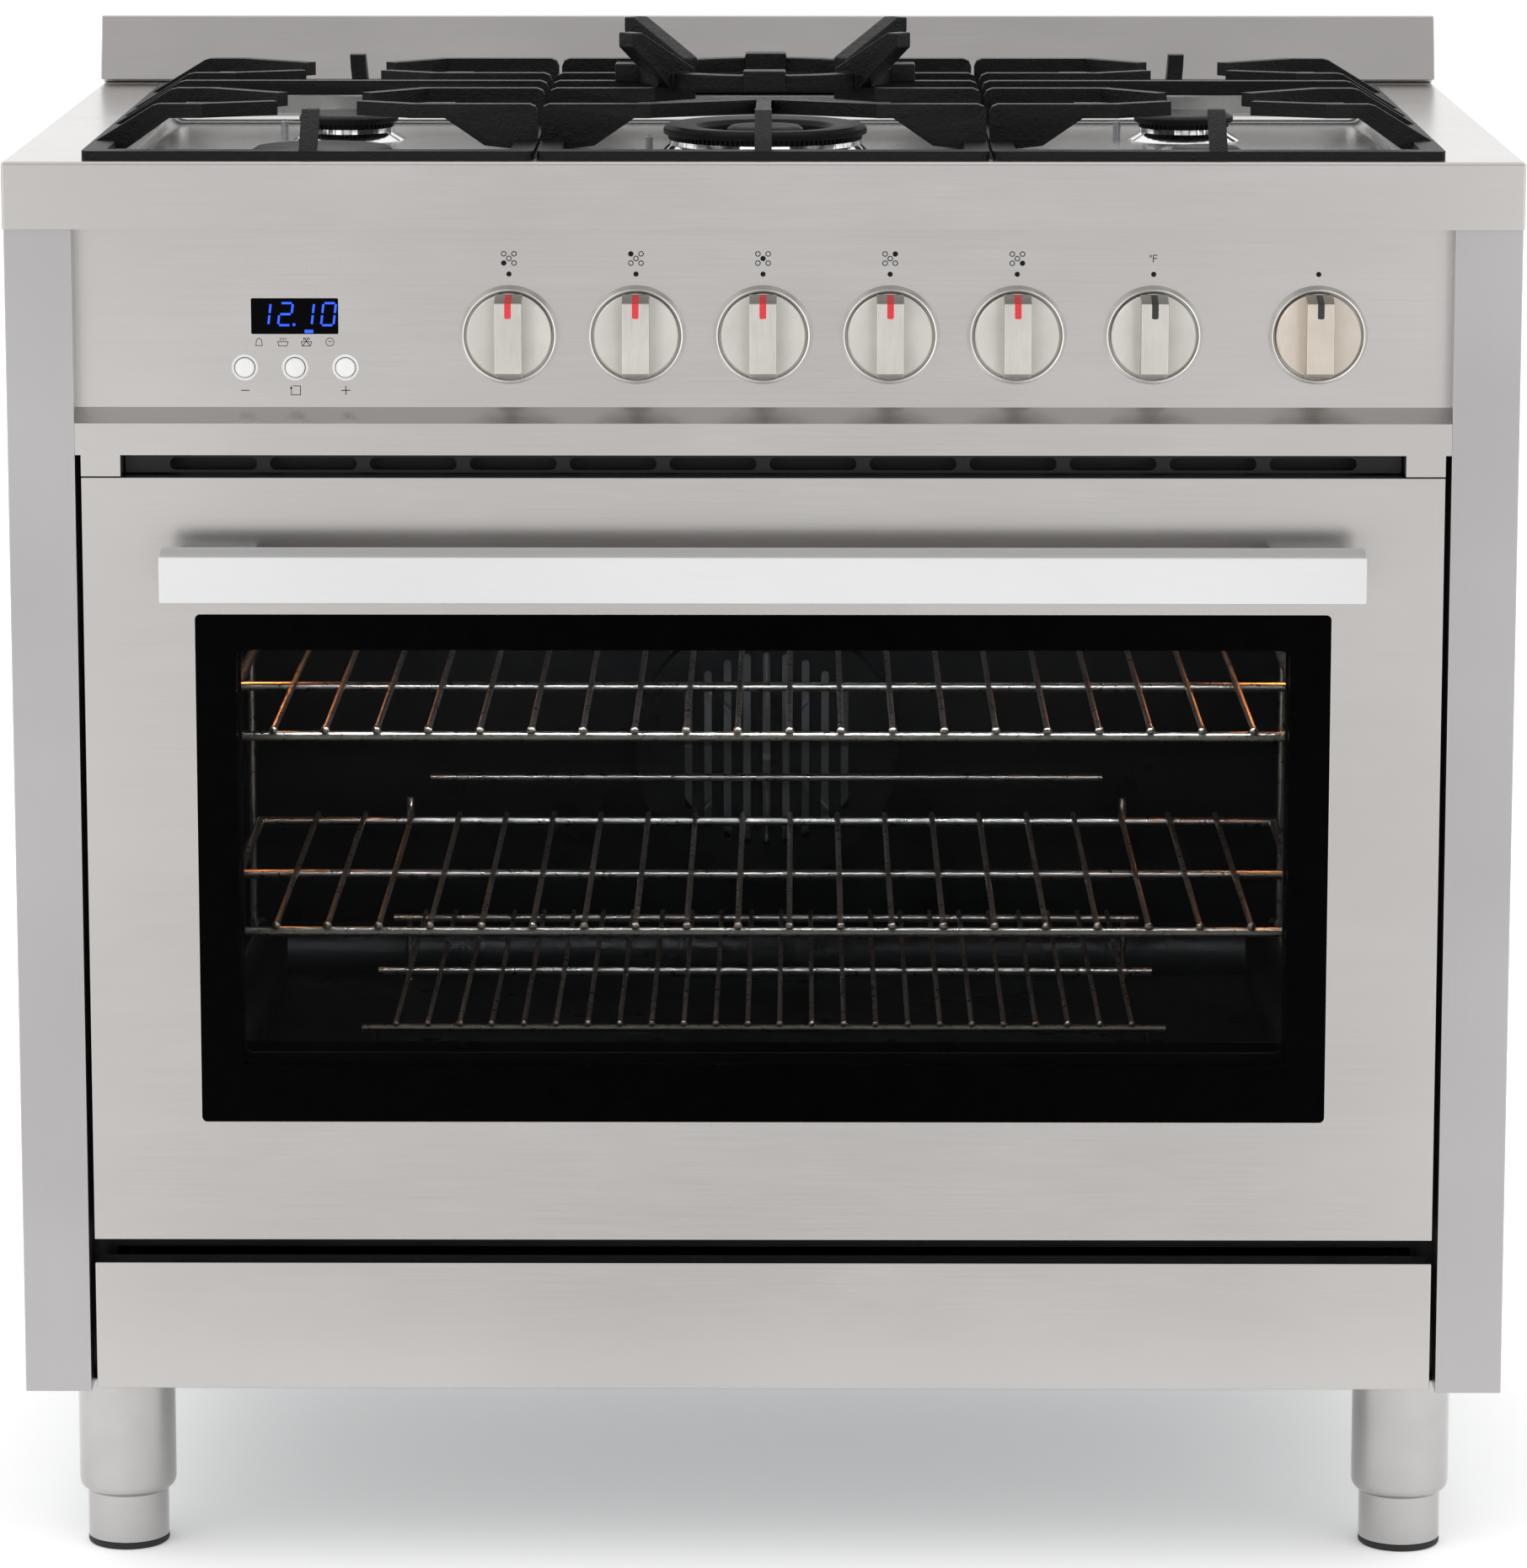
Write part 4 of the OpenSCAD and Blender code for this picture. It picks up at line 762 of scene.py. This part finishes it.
def makeMark(number, node, centre, front, dial, half):
    # inlaid mark that runs from the grip's top end down over its face
    k = knob
    w, top = k["markWidth"] / 2, half - k["lean"]
    lift = k["markProud"]
    foot = top - k["markLength"]
    turned = [(-w, top), (-w, foot + 1)] + [(x - w + 1, foot + 1 + z) for x, z in arc(0, 0, 1, 180, 270, 4)]
    turned += [(x + w - 1, foot + 1 + z) for x, z in arc(0, 0, 1, 270, 360, 4)] + [(w, foot + 1), (w, top)]
    bm = bmesh.new()
    frontPlate(bm, [(centre.x + x, centre.z + z) for x, z in turned], front - lift, front + 0.4)
    corners = []
    for y, z in ((front - lift, top), (dial - 1, half - 0.4)):  # the grip's sloping end
        for deep in (0.0, 0.6):
            for x in (-w, w):
                point = Vector((centre.x + x, y + deep, centre.z + z + lift - deep * 0.5))
                corners.append(bm.verts.new(point * mm))
    for face in ((0, 1, 5, 4), (2, 6, 7, 3), (0, 2, 3, 1), (4, 5, 7, 6), (0, 4, 6, 2), (1, 3, 7, 5)):
        bm.faces.new([corners[j] for j in face])
    colour = "redLacquer" if number <= k["redMarks"] else "blackLacquer"
    buildPiece("knobMark_%d" % number, bm, colour, node, slot="display")


def makeRings():
    bm = bmesh.new()
    faceY = high("knob_bezels").y / mm
    r, edge = knob["ring"], knob["radius"] + knob["groove"]
    profile = [(edge, faceY), (edge, faceY - 5.2), (edge + 0.6, faceY - 5.9), (edge + 1.3, faceY - 5.8)]
    profile += [(r - 0.9, faceY - 3.4), (r - 0.3, faceY - 1.6), (r, faceY - 0.9), (r, faceY)]
    for number in range(1, knobCount + 1):
        centre = middle("knob_%d" % number) / mm
        centre.y = 0
        lathe(bm, [(p, -y) for p, y in profile], centre * mm, axis="y", steps=128)
    for name in buttonNames:
        centre = middle("button_" + name) / mm
        centre.y = 0
        inner, outer = button["collarInner"], button["collarOuter"]
        rim = [(inner, faceY), (inner, faceY - 0.8), (6.6, faceY - 1.15), (7.4, faceY - 1.15),
               (outer, faceY - 0.5), (outer, faceY)]
        collar = bmesh.new()
        lathe(collar, [(p, -y) for p, y in rim], centre * mm, axis="y", steps=64)
        buildPiece("buttonCollar_" + name, collar, "whiteButton", "body",
                 slot="white_plastic")
    buildPiece("knobRings", bm, "satinChrome", "body", "knob_bezels", angle=40)
    return faceY


def makeButton(name):
    node = "button_" + name
    lo, hi = low(node) / mm, high(node) / mm
    centre = Vector(((lo.x + hi.x) / 2, 0, (lo.z + hi.z) / 2))
    radius = (hi.x - lo.x) / 2
    domed = arc(0, 0, 1, 0, 90, 6)
    profile = [(radius, hi.y)] + [(radius - 1.2 + 1.2 * c, lo.y + 1.2 - 0.9 * s) for c, s in domed]
    profile += [(radius * 0.5, lo.y + 0.08), (0.01, lo.y), (0.01, hi.y)]
    bm = bmesh.new()
    lathe(bm, [(p, -y) for p, y in profile], centre * mm, axis="y", steps=64)
    buildPiece("buttonCap_" + name, bm, "whiteButton", node, node)
    # a black ring in the gap round the button: painted shade standing in for the dark gap
    ring = bmesh.new()
    inner, outer = radius + 0.05, button["gapOuter"]
    groove = [(inner, faceY - 0.1), (inner, faceY - 0.5), (outer, faceY - 0.5), (outer, faceY - 0.1)]
    lathe(ring, [(p, -y) for p, y in groove], centre * mm, axis="y", steps=64)
    buildPiece("buttonGap_" + name, ring, "blackPlastic", "body", slot="display")


for number in range(1, knobCount + 1):
    makeKnob(number)
faceY = makeRings()
for name in buttonNames:
    makeButton(name)
print("knobs and buttons turned")


# ---- clock numerals and printed marks, all flat on the panel

printing = {"proud": 0.06, "dotRadius": 1.55, "dotAbove": 36.2, "iconAbove": 45.5, "iconAcross": 3.05,
            "iconUp": 2.75, "iconLine": 0.55, "iconRing": 1.65, "signLine": 0.5, "signHalf": 2.4,
            "signsBelow": 13.8, "smallAbove": 15.2, "smallLine": 0.38, "fineLine": 0.34,
            "clockAbove": 30.7, "clockHalf": (26.0, 10.75), "clockHem": 0.7,
            "digitTall": 13.2, "digitWide": 7.4, "stroke": 1.25, "slant": 0.12, "gap": 1.3}
digitPlaces = ((-19.4, "1"), (-6.2, "2"), (6.4, "1"), (19.4, "0"))
smallIcons = ((-21.4, "bell"), (-7.2, "dish"), (6.8, "dishCrossed"), (20.8, "clock"))


def circlePoints(x, z, radius, count=24):
    return [(x + radius * math.cos(2 * math.pi * i / count), z + radius * math.sin(2 * math.pi * i / count))
            for i in range(count)]


def printDisc(bm, x, z, radius):
    frontPlate(bm, circlePoints(x, z, radius), faceY - printing["proud"], faceY + 0.02)


def printCircle(bm, x, z, radius, line):
    ringPlate(bm, circlePoints(x, z, radius), circlePoints(x, z, radius - line),
              faceY - printing["proud"], faceY + 0.02)


def printLine(bm, points, width, y=None):
    # a stroke through points, each stretch its own thin plate
    y = faceY if y is None else y
    for (x0, z0), (x1, z1) in zip(points, points[1:]):
        along = Vector((x1 - x0, z1 - z0)).normalized()
        side = Vector((-along.y, along.x)) * width / 2
        along = along * width / 2
        outline = [(x0 - along.x - side.x, z0 - along.y - side.y),
                   (x1 + along.x - side.x, z1 + along.y - side.y),
                   (x1 + along.x + side.x, z1 + along.y + side.y),
                   (x0 - along.x + side.x, z0 - along.y + side.y)]
        frontPlate(bm, outline, y - printing["proud"], y + 0.02)


def makeDigits():
    # seven bars a numeral, leaning a little
    p = printing
    bars = {"1": "bc", "2": "abged", "0": "abcdef"}
    window = middle("display_module") / mm
    clock = middle("button_mode").x / mm
    base = middle("button_mode").z / mm + p["clockAbove"] - p["digitTall"] / 2 + 1.2
    glassY = low("display_module").y / mm
    bm = bmesh.new()
    w, h, s, gap = p["digitWide"], p["digitTall"], p["stroke"], p["gap"]
    for place, digit in digitPlaces:
        ends = {"a": ((gap, h), (w - gap, h)), "g": ((gap, h / 2), (w - gap, h / 2)),
                "d": ((gap, 0), (w - gap, 0)), "f": ((0, h - gap), (0, h / 2 + gap)),
                "b": ((w, h - gap), (w, h / 2 + gap)), "e": ((0, h / 2 - gap), (0, gap)),
                "c": ((w, h / 2 - gap), (w, gap))}
        for name in bars[digit]:
            points = [(clock + place - w / 2 + x + z * p["slant"], base + z) for x, z in ends[name]]
            printLine(bm, points, s, glassY)
    frontPlate(bm, circlePoints(clock - 0.4, base + 0.3, 0.9), glassY - p["proud"], glassY + 0.02)
    printLine(bm, [(clock + 6.8, base - 3.7), (clock + 10.0, base - 3.7)], 1.9, glassY)
    buildPiece("clockNumerals", bm, "digits", "body", slot="display")
    x, z = window.x, base + p["digitTall"] / 2 - 1.2
    across, up = p["clockHalf"]
    edge = p["clockHem"]
    hem = bmesh.new()
    inner = roundedBox((x - across, z - up), (x + across, z + up), 1.2, 4)
    outer = roundedBox((x - across - edge, z - up - edge), (x + across + edge, z + up + edge), 1.8, 4)
    ringPlate(hem, outer, inner, faceY - 0.25, faceY + 0.02)
    buildPiece("clockHem", hem, "satinChrome", "body", slot="display")


def makePrinting():
    p = printing
    bm = bmesh.new()
    spots = {1: (-1, -1), 2: (-1, 1), 3: (0, 0), 4: (1, 1), 5: (1, -1)}
    for number in range(1, knobCount + 1):
        x, z = middle("knob_%d" % number).x / mm, middle("knob_%d" % number).z / mm
        printDisc(bm, x, z + p["dotAbove"], p["dotRadius"])
        if number in spots:
            for side, up in ((-1, -1), (-1, 1), (0, 0), (1, 1), (1, -1)):
                where = (x + side * p["iconAcross"], z + p["iconAbove"] + up * p["iconUp"])
                if (side, up) == spots[number]:
                    printDisc(bm, *where, 1.6)
                else:
                    printCircle(bm, *where, p["iconRing"], p["iconLine"])
        if number == 6:  # oven control: a small ring beside a bracket
            line = p["signLine"]
            printCircle(bm, x - 1.9, z + 47.0, 0.8, 0.35)
            printLine(bm, [(x - 0.3, z + 43.6), (x - 0.3, z + 47.6), (x + 2.0, z + 47.6)], line)
            printLine(bm, [(x - 0.3, z + 45.7), (x + 1.5, z + 45.7)], line)
    minus, mode, plus = [middle("button_" + name) / mm for name in buttonNames]
    z, half, line = mode.z - p["signsBelow"], p["signHalf"], p["signLine"]
    printLine(bm, [(minus.x - half, z), (minus.x + half, z)], line)
    printLine(bm, [(plus.x - half, z), (plus.x + half, z)], line)
    printLine(bm, [(plus.x, z - half), (plus.x, z + half)], line)
    x = mode.x
    printLine(bm, [(x - 1.4, z + 2.7), (x + 2.9, z + 2.7), (x + 2.9, z - 2.7), (x - 2.5, z - 2.7),
                   (x - 2.5, z + 1.7)], 0.42)
    frontPlate(bm, [(x - 3.4, z + 1.0), (x - 1.8, z + 1.0), (x - 2.5, z + 2.6)],
               faceY - p["proud"], faceY + 0.02)
    z, line, fine = mode.z + p["smallAbove"], p["smallLine"], p["fineLine"]
    for place, icon in smallIcons:
        x = mode.x + place
        if icon == "bell":
            printLine(bm, [(x - 1.9, z - 2.2), (x - 1.5, z + 1.2), (x, z + 2.4), (x + 1.5, z + 1.2),
                           (x + 1.9, z - 2.2), (x - 1.9, z - 2.2)], line)
        elif icon == "clock":
            printCircle(bm, x, z, 2.6, line)
            printLine(bm, [(x - 0.9, z + 0.9), (x, z), (x + 1.3, z + 0.4)], fine)
        else:
            printLine(bm, [(x - 3.1, z + 0.1), (x + 3.1, z + 0.1), (x + 2.4, z - 2.4), (x - 2.4, z - 2.4),
                           (x - 3.1, z + 0.1)], line)
            for step in (-1.6, -0.5, 0.6, 1.7):
                printLine(bm, [(x + step, z + 1.0), (x + step, z + 2.4)], fine)
        if icon == "dishCrossed":
            printLine(bm, [(x - 2.2, z - 2.4), (x + 1.4, z + 2.6)], line)
            printLine(bm, [(x - 1.4, z + 2.6), (x + 2.2, z - 2.4)], line)
    buildPiece("panelPrinting", bm, "ink", "body", slot="display")


makeDigits()
makePrinting()
print("clock and printing done")


# ---- oven door glass: printed border round a clear window

doorGlass = {"window": (24.0, 35.0, 21.0), "corner": 2.6, "windowCorner": 4.0, "steps": 6}


def makeDoorGlass():
    g = doorGlass
    lo, hi = low("door_glass_outer") / mm, high("door_glass_outer") / mm
    side, foot, top = g["window"]
    outer = roundedBox((lo.x, lo.z), (hi.x, hi.z), g["corner"], g["steps"])
    inner = roundedBox((lo.x + side, lo.z + foot), (hi.x - side, hi.z - top), g["windowCorner"], g["steps"])
    bm = bmesh.new()
    ringPlate(bm, outer, inner, lo.y, hi.y)
    buildPiece("doorGlassBorder", bm, "blackGlass", "door", "door_glass_outer")
    bm = bmesh.new()
    frontPlate(bm, inner, lo.y, lo.y + 1.0)
    buildPiece("doorGlassWindow", bm, "windowGlass", "door", "door_glass_outer")


makeDoorGlass()
print("door glazed")


# ---- legs: sleeve with a rounded shoulder, foot tube and rubber pad

leg = {"sleeve": 30.0, "shoulder": 7.0, "neck": 25.4, "pad": 4.2, "tube": 25.0}


def makeLegs():
    l = leg
    sleeveLow, sleeveHigh = low("leg_sleeves").z / mm, high("leg_sleeves").z / mm
    sleeves = bmesh.new()
    for name in legNames:
        node = "foot_" + name
        centre = middle(node)
        centre.z = 0
        outer = l["sleeve"]
        curve = arc(outer - l["shoulder"], sleeveLow + l["shoulder"], l["shoulder"], -62, 0, 6)
        profile = [(l["neck"], sleeveLow)] + curve + [(outer, sleeveHigh)]
        profile += [(outer - 1.5, sleeveHigh), (outer - 1.5, sleeveLow + 9), (l["neck"], sleeveLow + 5)]
        lathe(sleeves, profile, centre, steps=96)
        tube = bmesh.new()
        top = high(node).z / mm
        r, padTop = l["tube"], l["pad"]
        lathe(tube, [(0.01, padTop), (r - 0.4, padTop), (r, padTop + 0.5), (r, top), (0.01, top)],
              centre, steps=96)
        buildPiece("footTube_" + name, tube, "turnedSteel", node, node)
        pad = bmesh.new()
        lathe(pad, [(0.01, 0), (r - 1.2, 0), (r - 0.2, 0.8), (r + 0.1, 1.6), (r + 0.1, padTop),
                    (0.01, padTop)], centre, steps=96)
        buildPiece("footPad_" + name, pad, "rubber", node, slot="seal")
    buildPiece("legSleeves", sleeves, "turnedSteel", "body", "leg_sleeves", angle=50)


makeLegs()
print("legs turned")


# ---- screws at the back

screws = {"radius": 4.2, "height": 1.6, "inset": 9.0, "topInset": 32, "rows": (190, 370, 550)}


def makeScrews():
    lo, hi = low("rear_panel") / mm, high("rear_panel") / mm
    bm = bmesh.new()
    s = screws
    xs = [lo.x + s["inset"] + (hi.x - lo.x - 2 * s["inset"]) * i / 5 for i in range(6)]
    spots = [(x, z) for x in xs for z in (lo.z + s["inset"], hi.z - s["topInset"])]
    spots += [(x, lo.z + rise) for x in (xs[0], xs[-1]) for rise in s["rows"]]
    for x, z in spots:
        domed = [(s["radius"], 0.0), (s["radius"], -0.5), (s["radius"] * 0.8, -s["height"] * 0.85),
                 (s["radius"] * 0.4, -s["height"]), (0.01, -s["height"]), (0.01, 0.0)]
        lathe(bm, domed, Vector((x, hi.y, z)) * mm, axis="y", steps=24)
    buildPiece("rearScrews", bm, "galvanised", "body", slot="galvanised")


makeScrews()
print("screws set")


# ---- studio

studio = {"floorDark": "#F6F6F6", "floor": "#FAFAFA", "floorGlow": 0.22, "floorAside": 15,
          "floorAhead": 0.8, "floorBehind": 16.0, "bright": 1.18, "dimLow": 1.0, "dimHigh": 0.7,
          "dimHighNarrow": 0.32, "side": 0.26, "strips": ((-0.42, 0.07, 1.5), (0.28, 0.05, 1.0)),
          "keyPower": 9.0, "fillPower": 4.0, "ovenPower": 1.6, "ovenColour": "#E8F4FF",
          "lampPower": 0.45, "lampColour": "#FF9A50"}
cameraLook = {"place": (0.021, -4.190, 1.2235), "pitch": 10.04, "yaw": 0.302, "lens": 156.7,
              "shift": -0.0411}


def makeFloor():
    made, tree, shader, where = startMaterial("paintedStudioFloor")
    mottle = stretchedNoise(tree, where, (400, 400, 400), 2.0, 0.5)
    feed(tree, shader, {
        "Base Color": blendColours(tree, mottle, studio["floorDark"], studio["floor"]), "Roughness": 0.9,
        "Specular IOR Level": 0.0, "Emission Color": hexColour("#FFFFFF"),
        "Emission Strength": studio["floorGlow"]})
    bm = bmesh.new()
    side, ahead, behind = studio["floorAside"], -studio["floorAhead"], studio["floorBehind"]
    corners = ((-side, ahead), (side, ahead), (side, behind), (-side, behind))
    bm.faces.new([bm.verts.new((x, y, 0)) for x, y in corners])
    mesh = meshFrom(bm, "studioFloor")
    mesh.materials.append(made)
    floor = bpy.data.objects.new("studioFloor", mesh)
    scene.collection.objects.link(floor)


def makeLight(name, where, target, size, power, colour="#FFFFFF"):
    light = bpy.data.lights.new(name, "AREA")
    light.shape = "RECTANGLE"
    light.size, light.size_y = size
    light.energy = power
    light.color = hexColour(colour)[:3]
    holder = bpy.data.objects.new(name, light)
    holder.location = where
    holder.rotation_euler = (Vector(target) - Vector(where)).to_track_quat("-Z", "Y").to_euler()
    holder.visible_camera = False
    scene.collection.objects.link(holder)


def makeSky():
    # soft white all round, dimmer straight ahead of the front, where a person would stand
    world = bpy.data.worlds.new("studioSky")
    world.use_nodes = True
    tree = world.node_tree
    way = addNode(tree, "ShaderNodeTexCoord").outputs["Generated"]
    axes = addNode(tree, "ShaderNodeSeparateXYZ", {"Vector": way}).outputs
    sideways = joined(tree, "ABSOLUTE", axes[0], 0.0)
    ahead = spread(tree, axes[1], 1.0, 0.0, -0.75, -0.35)
    narrow = spread(tree, sideways, 1.0, 0.0, 0.0, 0.18)
    lowDown = spread(tree, axes[2], 1.0, 0.0, 0.62, 0.9)
    raised = spread(tree, axes[2], 0.0, 1.0, 0.15, 0.4)
    levelDim = joined(tree, "MULTIPLY", joined(tree, "MULTIPLY", narrow, studio["dimLow"]),
                      joined(tree, "SUBTRACT", 1.0, raised))
    highest = studio["dimHigh"] + studio["dimHighNarrow"]
    raisedDim = joined(tree, "MULTIPLY", raised, spread(tree, narrow, studio["dimHigh"], highest, 0.0, 1.0))
    dim = joined(tree, "MULTIPLY", joined(tree, "MULTIPLY", ahead, lowDown),
                 joined(tree, "ADD", levelDim, raisedDim))
    flanks = joined(tree, "MULTIPLY", ahead, studio["side"])
    for place, width, strength in studio["strips"]:  # tall narrow softboxes, streaks in the round legs
        off = joined(tree, "ABSOLUTE", joined(tree, "SUBTRACT", axes[0], place), 0.0)
        strip = joined(tree, "MULTIPLY", spread(tree, off, strength, 0.0, 0.0, width), ahead)
        flanks = joined(tree, "ADD", flanks, strip)
    light = joined(tree, "SUBTRACT", joined(tree, "ADD", flanks, studio["bright"]), dim)
    feed(tree, tree.nodes["Background"], {"Strength": light, "Color": hexColour("#FFFFFF")})
    scene.world = world


def makeCamera():
    lens = bpy.data.cameras.new("studioCamera")
    lens.sensor_fit = "HORIZONTAL"
    lens.sensor_width = 36.0
    lens.lens = cameraLook["lens"]
    lens.shift_y = cameraLook["shift"]
    lens.clip_end = 100
    holder = bpy.data.objects.new("studioCamera", lens)
    holder.location = cameraLook["place"]
    holder.rotation_euler = (math.radians(90 - cameraLook["pitch"]), 0, math.radians(cameraLook["yaw"]))
    scene.collection.objects.link(holder)
    scene.camera = holder


makeSky()
scene.view_settings.view_transform = "Standard"
makeFloor()
makeLight("keySoftbox", (-2.6, -2.2, 2.6), (0, 0, 0.5), (1.6, 1.6), studio["keyPower"])
makeLight("fillSoftbox", (2.8, -2.4, 2.0), (0, 0, 0.5), (1.4, 1.4), studio["fillPower"])
for side in (-1, 1):
    makeLight("ovenLampLight%d" % side, (side * 0.335, 0.02, 0.60), (side * 0.2, -0.1, 0.45), (0.05, 0.05),
              studio["lampPower"], studio["lampColour"])
makeLight("ovenFillTop", (0, low("oven_cavity").y - 0.004, 0.586), (0, 0.1, 0.40), (0.6, 0.012),
          studio["ovenPower"], studio["ovenColour"])
makeCamera()
